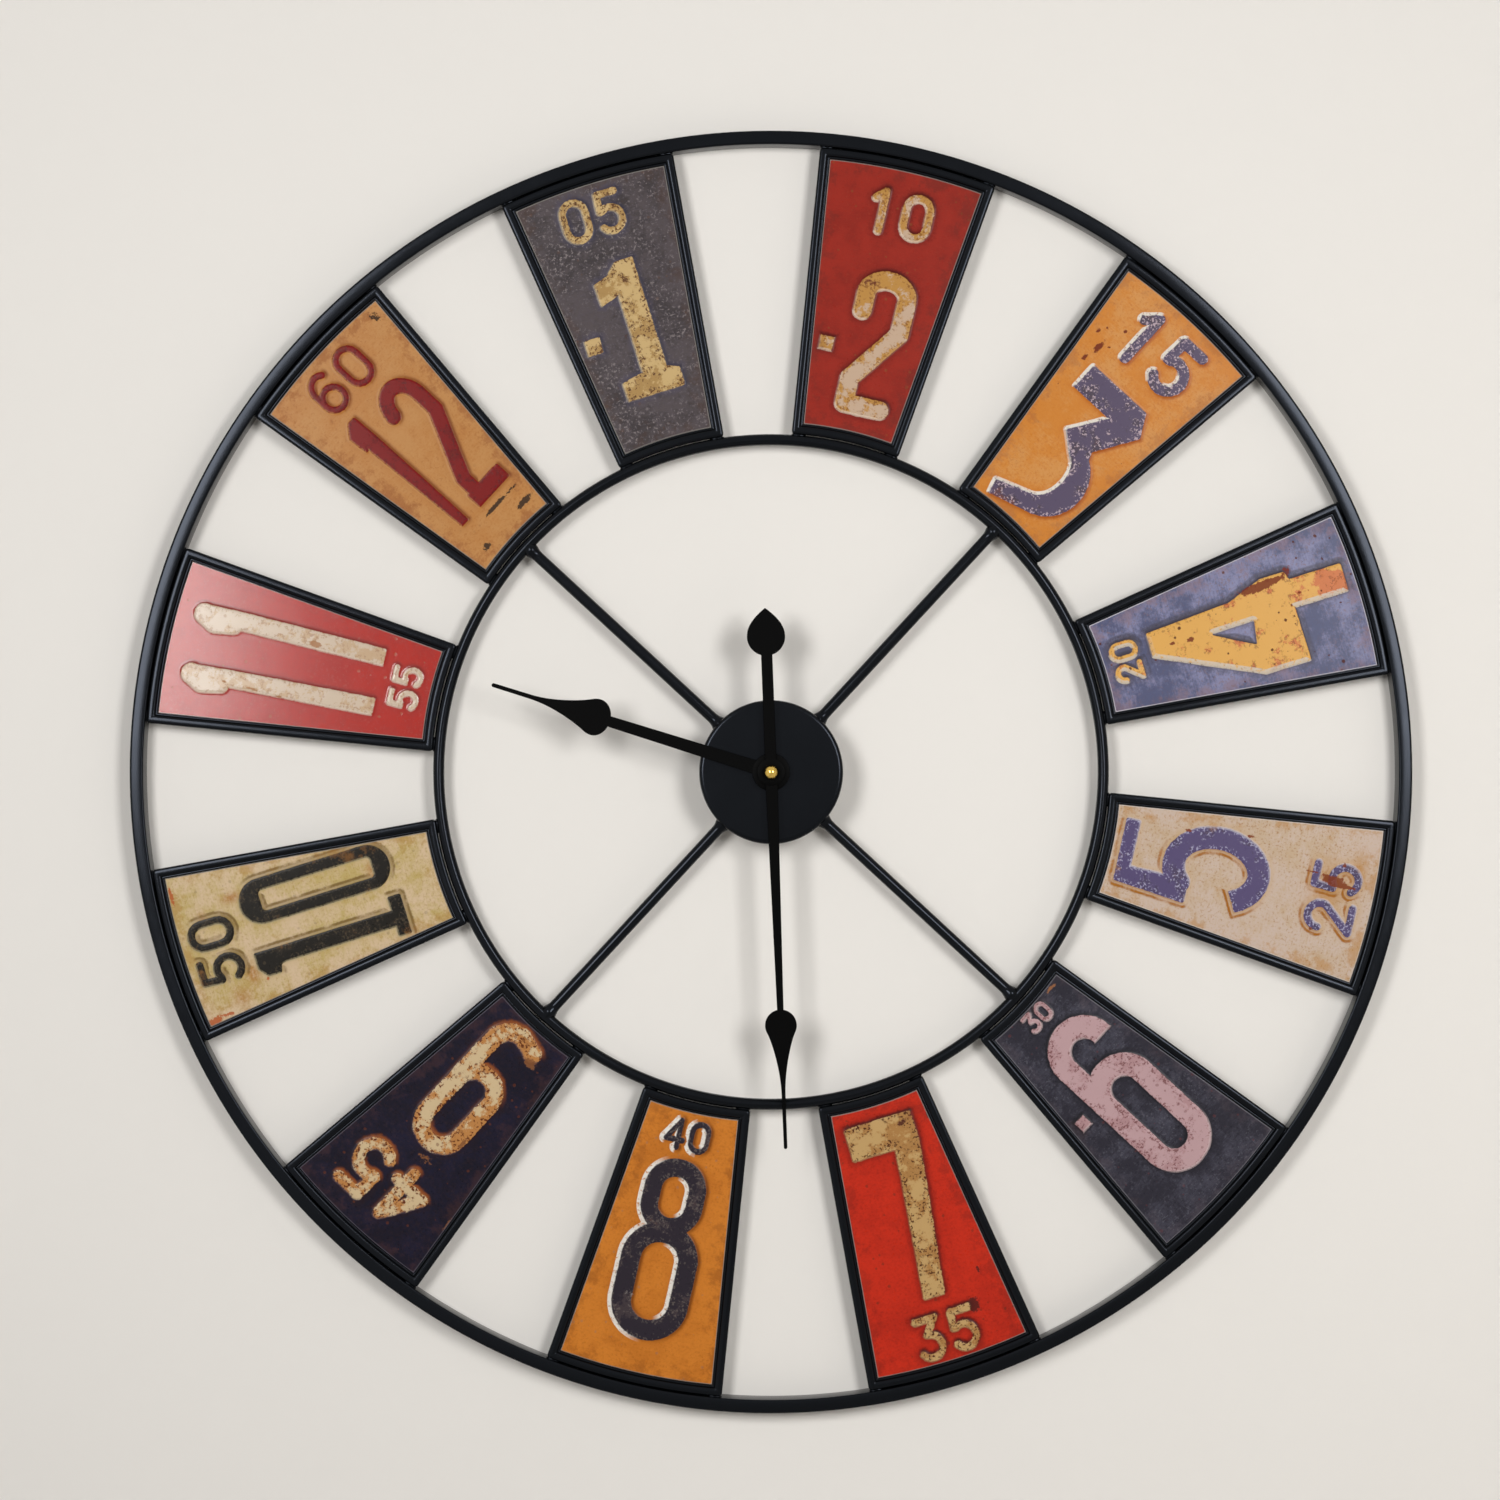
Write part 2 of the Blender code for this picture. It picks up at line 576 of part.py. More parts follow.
def add_hanger():
    """Hat-section strap welded to the back of the tray of 12, with a keyhole in its bridge."""
    middle = TRAY_OUTER_RADIUS - HANGER_BELOW_RING
    bridge = HANGER_WALL_GAP + HANGER_SHEET / 2
    foot = TRAY_BACK - WELD_GAP - HANGER_SHEET / 2
    slope_end = HANGER_BRIDGE_HALF + HANGER_SLOPE
    half = [(HANGER_BRIDGE_HALF, bridge), (slope_end, foot), (slope_end + HANGER_FOOT, foot)]
    section = [(-x, depth) for x, depth in reversed(half)] + half
    sheet = bmesh.new()
    rows = []
    for y in (middle - HANGER_LENGTH / 2, middle + HANGER_LENGTH / 2):
        rows.append([sheet.verts.new((x, y, depth)) for x, depth in section])
    for index in range(len(section) - 1):
        corners = (rows[0][index], rows[0][index + 1], rows[1][index + 1], rows[1][index])
        sheet.faces.new(corners)
    hanger = add_part("hanger_bracket", mesh_of("hanger_bracket", sheet), BLACK_PAINT, dial)
    wall = hanger.modifiers.new("sheet", "SOLIDIFY")
    wall.thickness = HANGER_SHEET
    wall.offset = 0.0
    wall.use_even_offset = True

    entry = (0.0, middle - KEYHOLE_RISE / 2)
    slot = (0.0, middle + KEYHOLE_RISE / 2)
    meeting = math.degrees(math.acos(KEYHOLE_SLOT_RADIUS / KEYHOLE_HEAD_RADIUS))
    keyhole = arc(entry, KEYHOLE_HEAD_RADIUS, 180 - meeting, 360 + meeting, 2 * ROUND_STEPS)
    keyhole += arc(slot, KEYHOLE_SLOT_RADIUS, 0, 180, ROUND_STEPS)
    punch = add_cutter(
        "keyhole_punch", flat_mesh("keyhole_punch", [keyhole], -CUT_MARGIN, bridge + HANGER_SHEET), dial,
    )
    combine(hanger, "DIFFERENCE", punch)


def add_hub():
    """Turned cup, open at the wall, with a round front edge and the hole for the bush."""
    inner_edge = max(HUB_EDGE_RADIUS - HUB_WALL, HUB_WALL / 2)
    inner_radius = HUB_RADIUS - HUB_WALL
    inner_front = HUB_DEPTH - HUB_WALL
    outside_centre = (HUB_RADIUS - HUB_EDGE_RADIUS, HUB_DEPTH - HUB_EDGE_RADIUS)
    inside_centre = (inner_radius - inner_edge, inner_front - inner_edge)
    round_outside = arc(outside_centre, HUB_EDGE_RADIUS, 90, 0, HUB_EDGE_STEPS)
    round_inside = arc(inside_centre, inner_edge, 0, 90, HUB_EDGE_STEPS // 2)
    cup = [(BUSH_HOLE, HUB_DEPTH), *round_outside, (HUB_RADIUS, 0.0), (inner_radius, 0.0)]
    cup += [*round_inside, (BUSH_HOLE, inner_front)]
    hub = add_part("hub_cup", profile_mesh("hub_cup", cup, closed=True), BLACK_PAINT, dial)
    spin(hub, HUB_STEPS)


def hand_blade(centre, radius, base_height, shaft_half, taper_end, tip, tip_half):
    """Right edge of a spade hand beyond its shaft: round base, concave taper, needle and round tip."""
    meets_shaft = -math.degrees(math.acos(shaft_half / radius))
    base = [
        (x, y if y > centre else centre + base_height * (y - centre))
        for x, y in arc((0.0, centre), radius, meets_shaft, SPADE_TURN, ROUND_STEPS)
    ]
    leave = Vector(base[-1])
    turn = math.radians(SPADE_TURN)
    reach = taper_end - leave.y
    handle = leave + Vector((-math.sin(turn), math.cos(turn))) * SPADE_SHOULDER * reach
    taper_half = tip_half * NEEDLE_SWELL
    bend = (taper_half, taper_end - TAPER_BEND * reach)
    taper = curve_points(leave, handle, bend, (taper_half, taper_end), ROUND_STEPS)
    return base + taper + arc((0.0, tip - tip_half), tip_half, 0, 90, TIP_STEPS)


def tail_leaf(centre, radius, shaft_half, tip):
    """Right edge of the tail: round base at the shaft and a convex, pointed end."""
    meets_shaft = -math.degrees(math.acos(shaft_half / radius))
    base = arc((0.0, centre), radius, meets_shaft, 0, ROUND_STEPS)
    reach = tip - centre
    shoulder = (radius, centre + TAIL_SHOULDER * reach)
    bend = (TAIL_POINT_WIDTH * radius, centre + TAIL_POINT_START * reach)
    point = curve_points((radius, centre), shoulder, bend, (0.0, tip), ROUND_STEPS)
    return base + point


def add_hour_hand():
    boss = math.degrees(math.acos(HOUR_SHAFT_HALF / HOUR_BOSS_RADIUS))
    right = arc((0.0, 0.0), HOUR_BOSS_RADIUS, -90, boss, 2 * ROUND_STEPS)
    right += hand_blade(
        HOUR_SPADE_CENTRE, HOUR_SPADE_RADIUS, HOUR_SPADE_BASE, HOUR_SHAFT_TOP_HALF,
        HOUR_TAPER_END, HOUR_TIP, HOUR_TIP_HALF,
    )
    bore = circle(HOUR_TUBE_RADIUS + RUN_GAP, SHAFT_SIDES)
    mesh = flat_mesh("hour_hand", [mirrored(right), bore], HOUR_HAND_LOW, HOUR_HAND_LOW + HAND_THICKNESS)
    add_part("hour_hand", mesh, HAND_PAINT, hour_axis, clockwise=HOUR_REST)


def add_minute_hand():
    tail = tail_leaf(TAIL_LEAF_CENTRE, TAIL_LEAF_RADIUS, TAIL_SHAFT_HALF, TAIL_TIP)
    tail_boss = math.degrees(math.acos(TAIL_SHAFT_HALF / MINUTE_BOSS_RADIUS))
    shaft_boss = math.degrees(math.acos(MINUTE_SHAFT_HALF / MINUTE_BOSS_RADIUS))
    right = [(x, -y) for x, y in reversed(tail)]
    right += arc((0.0, 0.0), MINUTE_BOSS_RADIUS, -tail_boss, shaft_boss, ROUND_STEPS)
    right += hand_blade(
        MINUTE_SPADE_CENTRE, MINUTE_SPADE_RADIUS, MINUTE_SPADE_BASE, MINUTE_SHAFT_TOP_HALF,
        MINUTE_TAPER_END, MINUTE_TIP, MINUTE_TIP_HALF,
    )
    bore = circle(ARBOR_RADIUS + RUN_GAP, SHAFT_SIDES)
    high = MINUTE_HAND_LOW + HAND_THICKNESS
    mesh = flat_mesh("minute_hand", [mirrored(right), bore], MINUTE_HAND_LOW, high)
    add_part("minute_hand", mesh, HAND_PAINT, minute_axis, clockwise=MINUTE_REST)


def add_cap_nut():
    """Brass dome that holds the minute hand, bored from behind for the arbor."""
    bore = ARBOR_RADIUS + RUN_GAP
    collar = CAP_NUT_LOW + CAP_NUT_COLLAR
    dome = arc((0.0, collar), CAP_NUT_RADIUS, 90, 0, ROUND_STEPS)
    section = [(0.0, dome[0][1]), *dome[1:], (CAP_NUT_RADIUS, CAP_NUT_LOW), (bore, CAP_NUT_LOW)]
    section += [(bore, CAP_NUT_LOW + CAP_NUT_BORE_DEPTH), (0.0, CAP_NUT_LOW + CAP_NUT_BORE_DEPTH)]
    nut = add_part("cap_nut", profile_mesh("cap_nut", section, closed=False), BRASS, minute_axis)
    spin(nut, WASHER_SIDES)


def add_clamp():
    """What holds the movement in the hub: rubber and brass washers, bush and fixing nut."""
    hole = circle(BUSH_HOLE, WASHER_SIDES)
    rubber = [circle(RUBBER_WASHER_RADIUS, WASHER_SIDES), hole]
    rubber_low = RUBBER_HIGH - RUBBER_WASHER_THICKNESS
    add_part("rubber_washer", flat_mesh("rubber_washer", rubber, rubber_low, RUBBER_HIGH), RUBBER, dial)
    brass = [circle(BRASS_WASHER_RADIUS, WASHER_SIDES), hole]
    brass_high = BRASS_LOW + BRASS_WASHER_THICKNESS
    add_part("brass_washer", flat_mesh("brass_washer", brass, BRASS_LOW, brass_high), BRASS, dial)
    nut = [circle(NUT_CORNER_RADIUS, NUT_SIDES), hole]
    add_part("fixing_nut", flat_mesh("fixing_nut", nut, NUT_LOW, NUT_HIGH), BRASS, dial)
    bush = [
        (BUSH_BORE, BUSH_HIGH),
        (BUSH_RADIUS, BUSH_HIGH),
        (BUSH_RADIUS, FLANGE_HIGH),
        (BUSH_FLANGE_RADIUS, FLANGE_HIGH),
        (BUSH_FLANGE_RADIUS, FLANGE_LOW),
        (BUSH_BORE, FLANGE_LOW),
    ]
    sleeve = add_part("threaded_bush", profile_mesh("threaded_bush", bush, closed=True), BRASS, dial)
    spin(sleeve, WASHER_SIDES)


def gear_outline(teeth, module, first_tooth):
    """Straight-flanked teeth; first_tooth is the direction of one tooth, in radians from +x."""
    root = (teeth / 2 - DEDENDUM) * module
    tip = (teeth / 2 + ADDENDUM) * module
    root_half = TOOTH_ROOT_SHARE * math.pi / teeth
    tip_half = TOOTH_TIP_SHARE * math.pi / teeth
    points = []
    for tooth in range(teeth):
        middle = first_tooth + 2 * math.pi * tooth / teeth
        for radius, offset in ((root, -root_half), (tip, -tip_half), (tip, tip_half), (root, root_half)):
            points.append((radius * math.cos(middle + offset), radius * math.sin(middle + offset)))
    return points


def add_motion_work():
    """Arbor pinion, minute wheel and hour wheel, in mesh on the line between the two axes."""
    back_to_arbor = MESH_DIRECTION + math.pi
    pinion_low = MINUTE_WHEEL_LOW - PINION_OVERHANG
    pinion_high = MINUTE_WHEEL_HIGH + PINION_OVERHANG
    teeth = gear_outline(ARBOR_TEETH, ARBOR_MODULE, MESH_DIRECTION)
    pinion = flat_mesh("minute_arbor", [teeth], pinion_low, pinion_high)
    arbor = add_part("minute_arbor", pinion, STEEL, minute_axis)
    shaft = rod_mesh("arbor_shaft", ARBOR_RADIUS, COVER_HIGH + SEAT_GAP, ARBOR_HIGH, SHAFT_SIDES)
    combine(arbor, "UNION", add_cutter("arbor_shaft", shaft, minute_axis))

    teeth = gear_outline(MINUTE_WHEEL_TEETH, ARBOR_MODULE, back_to_arbor + math.pi / MINUTE_WHEEL_TEETH)
    disc = flat_mesh("minute_wheel", [teeth], MINUTE_WHEEL_LOW, MINUTE_WHEEL_HIGH)
    wheel = add_part("minute_wheel", disc, WHEEL_PLASTIC, setting_axis)
    teeth = gear_outline(MINUTE_PINION_TEETH, HOUR_MODULE, back_to_arbor)
    pinion_low = HOUR_WHEEL_LOW - PINION_OVERHANG
    pinion_high = HOUR_WHEEL_HIGH + PINION_OVERHANG
    pinion = flat_mesh("minute_pinion", [teeth], pinion_low, pinion_high)
    combine(wheel, "UNION", add_cutter("minute_pinion", pinion, setting_axis))
    shaft_low = KNOB_HIGH - KNOB_SOCKET + SEAT_GAP
    shaft = rod_mesh("wheel_arbor", WHEEL_ARBOR_RADIUS, shaft_low, CASE_FLOOR - SEAT_GAP, SHAFT_SIDES)
    combine(wheel, "UNION", add_cutter("wheel_arbor", shaft, setting_axis))

    teeth = gear_outline(HOUR_WHEEL_TEETH, HOUR_MODULE, MESH_DIRECTION + math.pi / HOUR_WHEEL_TEETH)
    disc = flat_mesh("hour_wheel", [teeth], HOUR_WHEEL_LOW, HOUR_WHEEL_HIGH)
    wheel = add_part("hour_wheel", disc, WHEEL_PLASTIC, hour_axis)
    tube_low = (HOUR_WHEEL_LOW + HOUR_WHEEL_HIGH) / 2
    tube = rod_mesh("hour_tube", HOUR_TUBE_RADIUS, tube_low, HOUR_TUBE_HIGH, SHAFT_SIDES)
    combine(wheel, "UNION", add_cutter("hour_tube", tube, hour_axis))
    bore_low = HOUR_WHEEL_LOW - CUT_MARGIN
    bore = rod_mesh("hour_bore", HOUR_TUBE_BORE, bore_low, HOUR_TUBE_HIGH + CUT_MARGIN, SHAFT_SIDES)
    combine(wheel, "DIFFERENCE", add_cutter("hour_bore", bore, hour_axis))


def add_knob():
    """Fluted setting knob with a blind socket for the minute wheel's arbor."""
    flutes = []
    for step in range(FLUTE_STEPS * KNOB_FLUTES):
        angle = 2 * math.pi * step / (FLUTE_STEPS * KNOB_FLUTES)
        radius = KNOB_RADIUS - KNOB_FLUTE_DEPTH * (0.5 - 0.5 * math.cos(KNOB_FLUTES * angle))
        flutes.append((radius * math.cos(angle), radius * math.sin(angle)))
    mesh = flat_mesh("setting_knob", [flutes], KNOB_LOW, KNOB_HIGH)
    knob = add_part("setting_knob", mesh, CASE_PLASTIC, setting_axis)
    socket_radius = WHEEL_ARBOR_RADIUS + RUN_GAP
    socket_low = KNOB_HIGH - KNOB_SOCKET
    socket = rod_mesh("knob_socket", socket_radius, socket_low, KNOB_HIGH + CUT_MARGIN, SHAFT_SIDES)
    combine(knob, "DIFFERENCE", add_cutter("knob_socket", socket, setting_axis))


def add_case():
    """Square case, open at the back: wheels above, the cell's bay below, a wall between them."""
    low = (-CASE_HALF, CASE_BOTTOM, CASE_BACK)
    case = add_part(
        "movement_case",
        box_mesh("movement_case", low, (CASE_HALF, CASE_TOP, CASE_FRONT), CASE_CORNER),
        CASE_PLASTIC,
        dial,
    )
    rooms = {
        "wheel_room": (BAY_TOP + CASE_WALL, CASE_TOP - CASE_WALL),
        "cell_bay": (BAY_BOTTOM, BAY_TOP),
    }
    for name, (bottom, top) in rooms.items():
        room = box_mesh(name, (-BAY_HALF, bottom, CASE_BACK - CUT_MARGIN), (BAY_HALF, top, CASE_FLOOR))
        combine(case, "DIFFERENCE", add_cutter(name, room, dial))
    hole = rod_mesh("case_hole", BUSH_HOLE, CASE_FLOOR - CUT_MARGIN, CASE_FRONT + CUT_MARGIN, WASHER_SIDES)
    combine(case, "DIFFERENCE", add_cutter("case_hole", hole, dial))

    cover = add_part(
        "movement_cover",
        box_mesh("movement_cover", (-CASE_HALF, BAY_TOP, COVER_LOW), (CASE_HALF, CASE_TOP, COVER_HIGH)),
        CASE_PLASTIC,
        dial,
    )
    hole_radius = WHEEL_ARBOR_RADIUS + RUN_GAP
    hole = rod_mesh("knob_hole", hole_radius, COVER_LOW - CUT_MARGIN, COVER_HIGH + CUT_MARGIN, SHAFT_SIDES)
    combine(cover, "DIFFERENCE", add_cutter("knob_hole", hole, setting_axis))


def add_drive():
    """Closed motor capsule left of the wheels, coil on its circuit board right of them."""
    bottom = BAY_TOP + CASE_WALL + SEAT_GAP
    top = CASE_TOP - CASE_WALL - SEAT_GAP
    low = (-BAY_HALF + SEAT_GAP, bottom, COVER_HIGH + SEAT_GAP)
    high = (-HOUR_WHEEL_RADIUS - GEAR_CLEARANCE, top, CASE_FLOOR - SEAT_GAP)
    add_part("motor_capsule", box_mesh("motor_capsule", low, high, CASE_CORNER), WHEEL_PLASTIC, dial)

    middle = (bottom + top) / 2
    board_high = CASE_FLOOR - SEAT_GAP
    board_low = board_high - BOARD_THICKNESS
    right = BAY_HALF - SEAT_GAP
    low = (right - BOARD_WIDTH, middle - BOARD_LENGTH / 2, board_low)
    high = (right, middle + BOARD_LENGTH / 2, board_high)
    add_part("circuit_board", box_mesh("circuit_board", low, high), BOARD_GREEN, dial)

    half = COIL_LENGTH / 2
    spool = [
        (0.0, half),
        (COIL_RADIUS, half),
        (COIL_RADIUS, half - COIL_FLANGE),
        (COIL_CORE_RADIUS, half - COIL_FLANGE),
        (COIL_CORE_RADIUS, COIL_FLANGE - half),
        (COIL_RADIUS, COIL_FLANGE - half),
        (COIL_RADIUS, -half),
        (0.0, -half),
    ]
    coil = add_part("drive_coil", profile_mesh("drive_coil", spool, closed=False), COPPER, dial)
    spin(coil, SHAFT_SIDES)
    coil.location = (right - COIL_RADIUS, middle, board_low - SEAT_GAP - COIL_RADIUS)
    coil.rotation_euler = (math.pi / 2, 0.0, 0.0)


def add_cell():
    """Cell across the bay, and a contact at each end; the minus contact bulges as a leaf spring."""
    plus_face = BAY_HALF - PLUS_SPACE
    shoulder = plus_face - BATTERY_NUB_LENGTH
    minus_face = plus_face - BATTERY_LENGTH
    can = [
        (0.0, plus_face),
        (BATTERY_NUB_RADIUS, plus_face),
        (BATTERY_NUB_RADIUS, shoulder),
        (BATTERY_RADIUS - BATTERY_EDGE, shoulder),
        (BATTERY_RADIUS, shoulder - BATTERY_EDGE),
        (BATTERY_RADIUS, minus_face + BATTERY_EDGE),
        (BATTERY_RADIUS - BATTERY_EDGE, minus_face),
        (0.0, minus_face),
    ]
    cell = add_part("battery", profile_mesh("battery", can, closed=False), CELL_SLEEVE, battery_seat)
    spin(cell, WASHER_SIDES)
    cell.rotation_euler = (0.0, math.pi / 2, 0.0)

    low = BATTERY_DEPTH - CONTACT_HEIGHT / 2
    high = BATTERY_DEPTH + CONTACT_HEIGHT / 2
    wall = BAY_HALF - SEAT_GAP
    bottom = BATTERY_HEIGHT - CONTACT_HALF_WIDTH
    top = BATTERY_HEIGHT + CONTACT_HALF_WIDTH
    strip = box_mesh("contact_plus", (wall - CONTACT_THICKNESS, bottom, low), (wall, top, high))
    add_part("contact_plus", strip, STEEL, dial)

    back = [(-wall, bottom), (-wall, top)]
    front = arc((0.0, 0.0), 1.0, 90, -90, ROUND_STEPS)
    leaf = [
        (-wall + CONTACT_THICKNESS + SPRING_TRAVEL * x, BATTERY_HEIGHT + CONTACT_HALF_WIDTH * y)
        for x, y in front
    ]
    spring = flat_mesh("contact_minus", [back + leaf], low, high)
    add_part("contact_minus", spring, STEEL, dial)


clear_scene()
parts = new_collection("skeleton_wall_clock")
cutters = new_collection("cutters")
dial = bpy.data.objects.new("dial", None)
dial.rotation_euler.x = math.pi / 2
parts.objects.link(dial)
minute_axis = add_empty("minute_axis", (0.0, 0.0, 0.0), dial)
hour_axis = add_empty("hour_axis", (0.0, 0.0, 0.0), dial)
setting_axis = add_empty("setting_axis", MINUTE_WHEEL_PLACE, dial)
battery_seat = add_empty("battery_seat", (0.0, BATTERY_HEIGHT, BATTERY_DEPTH), dial)

add_outer_ring()
add_part("inner_ring", torus_mesh("inner_ring", ROD_RADIUS), BLACK_PAINT, dial)
add_struts()
add_trays()
add_hanger()
add_hub()
add_hour_hand()
add_minute_hand()
add_cap_nut()
add_clamp()
add_motion_work()
add_knob()
add_case()
add_drive()
add_cell()
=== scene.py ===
# %% [markdown]
# # A skeleton wall clock with number plates
# This lesson dresses a packed clock.  The frame brings every solid in metres: the wall is the plane y = 0,
# the face looks along -Y and 12 o'clock is at +Z.  Each step replaces one plain solid by a finer surface
# worked out with numpy, or gives it a finish made of shader nodes.

# %% Load the clock
import math

import bmesh
import bpy
import numpy as np
from mathutils import Matrix, Vector


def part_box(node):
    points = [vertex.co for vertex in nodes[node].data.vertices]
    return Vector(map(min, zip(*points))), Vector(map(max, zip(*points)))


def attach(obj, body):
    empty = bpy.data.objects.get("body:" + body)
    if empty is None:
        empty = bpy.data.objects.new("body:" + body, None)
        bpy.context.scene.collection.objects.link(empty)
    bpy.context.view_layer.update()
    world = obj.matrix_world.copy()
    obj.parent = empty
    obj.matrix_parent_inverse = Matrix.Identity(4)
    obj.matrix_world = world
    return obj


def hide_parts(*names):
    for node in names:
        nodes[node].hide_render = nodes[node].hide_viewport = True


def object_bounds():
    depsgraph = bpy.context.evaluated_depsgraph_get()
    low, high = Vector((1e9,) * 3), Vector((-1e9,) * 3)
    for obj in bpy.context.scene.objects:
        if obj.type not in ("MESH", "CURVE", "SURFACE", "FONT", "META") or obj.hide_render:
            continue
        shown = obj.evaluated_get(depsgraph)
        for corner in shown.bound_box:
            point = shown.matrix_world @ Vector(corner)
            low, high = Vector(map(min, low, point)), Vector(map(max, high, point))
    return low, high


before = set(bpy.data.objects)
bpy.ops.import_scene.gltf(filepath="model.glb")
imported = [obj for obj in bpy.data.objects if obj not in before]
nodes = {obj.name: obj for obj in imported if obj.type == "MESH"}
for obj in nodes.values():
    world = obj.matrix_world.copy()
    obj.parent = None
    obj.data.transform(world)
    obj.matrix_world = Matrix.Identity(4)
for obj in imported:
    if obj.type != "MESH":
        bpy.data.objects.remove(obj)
cad_low, cad_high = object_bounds()
print(len(nodes), "solids,", [round(side * 1000, 1) for side in cad_high - cad_low], "mm")

# %% [markdown]
# ## Camera
# The clock was photographed from straight in front while it was turned to the left, so 12 o'clock points to
# the picture's upper left.  The camera could be rolled with angles, but a matrix of three axes says the
# same thing plainly: the picture's right, the picture's top and the way back to the camera.

# %% Camera
IMAGE_PIXELS = 1500
PICTURE_WIDTH = 0.935                  # metres across the picture at the front of the outer ring
TWIST = math.radians(47.25)            # 12 o'clock to the left of the picture's top
AXIS_PIXEL = (771, 772)                # where the hands' axis is in the picture
LENS = 85.0                            # millimetres, on a sensor of 36 mm
SENSOR = 36.0

picture_right = Vector((math.cos(TWIST), 0.0, -math.sin(TWIST)))
picture_top = Vector((math.sin(TWIST), 0.0, math.cos(TWIST)))
pixel = PICTURE_WIDTH / IMAGE_PIXELS
stand = (IMAGE_PIXELS / 2 - AXIS_PIXEL[0]) * pixel * picture_right
stand += (AXIS_PIXEL[1] - IMAGE_PIXELS / 2) * pixel * picture_top
stand.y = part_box("outer_ring")[0].y - PICTURE_WIDTH * LENS / SENSOR
camera = bpy.data.objects.new("camera", bpy.data.cameras.new("camera"))
camera.data.lens = LENS
camera.data.sensor_width = SENSOR
axes = Matrix((picture_right, picture_top, Vector((0.0, -1.0, 0.0)))).transposed()
camera.matrix_world = Matrix.Translation(stand) @ axes.to_4x4()
scene = bpy.context.scene
scene.collection.objects.link(camera)
scene.camera = camera
scene.view_settings.view_transform = "Standard"
print("camera at", [round(value, 3) for value in stand])

# %% [markdown]
# ## From a grid of numbers to a mesh
# Every new piece is an array of points: rows run one way over the surface and columns the other way.  A
# cell of the grid becomes a four-sided face.  Building faces one by one would be slow and hard to read;
# cutting shifted copies out of one array of point numbers gives all of them at once.

# %% Grids and pieces
HOUR_TURN = 30                         # degrees from one hour to the next


def on_dial(across, up, depth, clockwise=0.0):
    """Dial points turned clockwise: x = across cos a + up sin a, z = up cos a - across sin a, y = -depth."""
    turn = np.radians(clockwise)
    across, up, depth = np.broadcast_arrays(across, up, depth)
    x = across * np.cos(turn) + up * np.sin(turn)
    z = up * np.cos(turn) - across * np.sin(turn)
    return np.stack([x, -depth, z], axis=-1)


def grid_faces(rows, columns, wrap_rows=False, wrap_columns=False):
    """Corner numbers of each cell of a grid; a wrapped side joins its last line to its first."""
    number = np.arange(rows * columns).reshape(rows, columns)
    if wrap_rows:
        number = np.vstack([number, number[:1]])
    if wrap_columns:
        number = np.hstack([number, number[:, :1]])
    corners = [number[:-1, :-1], number[:-1, 1:], number[1:, 1:], number[1:, :-1]]
    return np.stack(corners, axis=-1).reshape(-1, 4).tolist()


def tube_faces(rows, columns):
    """Faces of closed sections stacked along a path, with a flat end on the first and on the last."""
    ends = [list(range(columns)), list(range((rows - 1) * columns, rows * columns))]
    return grid_faces(rows, columns, wrap_columns=True) + ends


def set_piece(name, mesh, look, body, stands_for):
    """Object for a finished mesh: it rides on a body, takes its slot's finish and hides the solids."""
    piece = bpy.data.objects.new(name, mesh)
    scene.collection.objects.link(piece)
    mesh.materials.clear()
    mesh.materials.append(look)
    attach(piece, body)
    if stands_for:
        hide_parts(*stands_for)
    return piece


def add_piece(name, points, faces, look, body="clock_frame", stands_for=(), marks=None, crease=40):
    """Piece from points and faces.  Points on one spot are merged, so seams and poles are closed."""
    mesh = bpy.data.meshes.new(name)
    mesh.from_pydata(points.reshape(-1, 3).tolist(), [], faces)
    for title, amount in (marks or {}).items():
        vectors = np.shape(amount) == (len(mesh.vertices), 3)
        store = mesh.attributes.new(title, "FLOAT_VECTOR" if vectors else "FLOAT", "POINT")
        store.data.foreach_set("vector" if vectors else "value", np.ravel(amount).astype(np.float32))
    shape = bmesh.new()
    shape.from_mesh(mesh)
    bmesh.ops.remove_doubles(shape, verts=shape.verts, dist=1e-7)
    bmesh.ops.recalc_face_normals(shape, faces=shape.faces)
    shape.to_mesh(mesh)
    shape.free()
    mesh.shade_smooth()
    mesh.set_sharp_from_angle(angle=math.radians(crease))
    return set_piece(name, mesh, look, body, stands_for)


def quadratic(a, c, b, t):
    """Curve from a to b that leaves and arrives along the lines to c."""
    return (1 - t) ** 2 * a + 2 * t * (1 - t) * c + t**2 * b


def rounded(corners, radius, steps=5):
    """Closed section with soft corners, as one row per coordinate.  Near corner C the curve is
    (1-t)^2 A + 2t(1-t) C + t^2 B, where A and B are on its two sides at the given distance."""
    corners = np.asarray(corners, float)
    radius = np.broadcast_to(np.asarray(radius, float), len(corners))[:, None]
    before = np.roll(corners, 1, axis=0) - corners
    after = np.roll(corners, -1, axis=0) - corners
    a = corners + radius * before / np.linalg.norm(before, axis=1)[:, None]
    b = corners + radius * after / np.linalg.norm(after, axis=1)[:, None]
    t = np.linspace(0.0, 1.0, steps)[:, None, None]
    return quadratic(a, corners, b, t).transpose(1, 0, 2).reshape(-1, 2).T


def full_turn(steps):
    """Even angles once round, as a column."""
    return np.linspace(0.0, 2 * np.pi, steps, endpoint=False)[:, None]


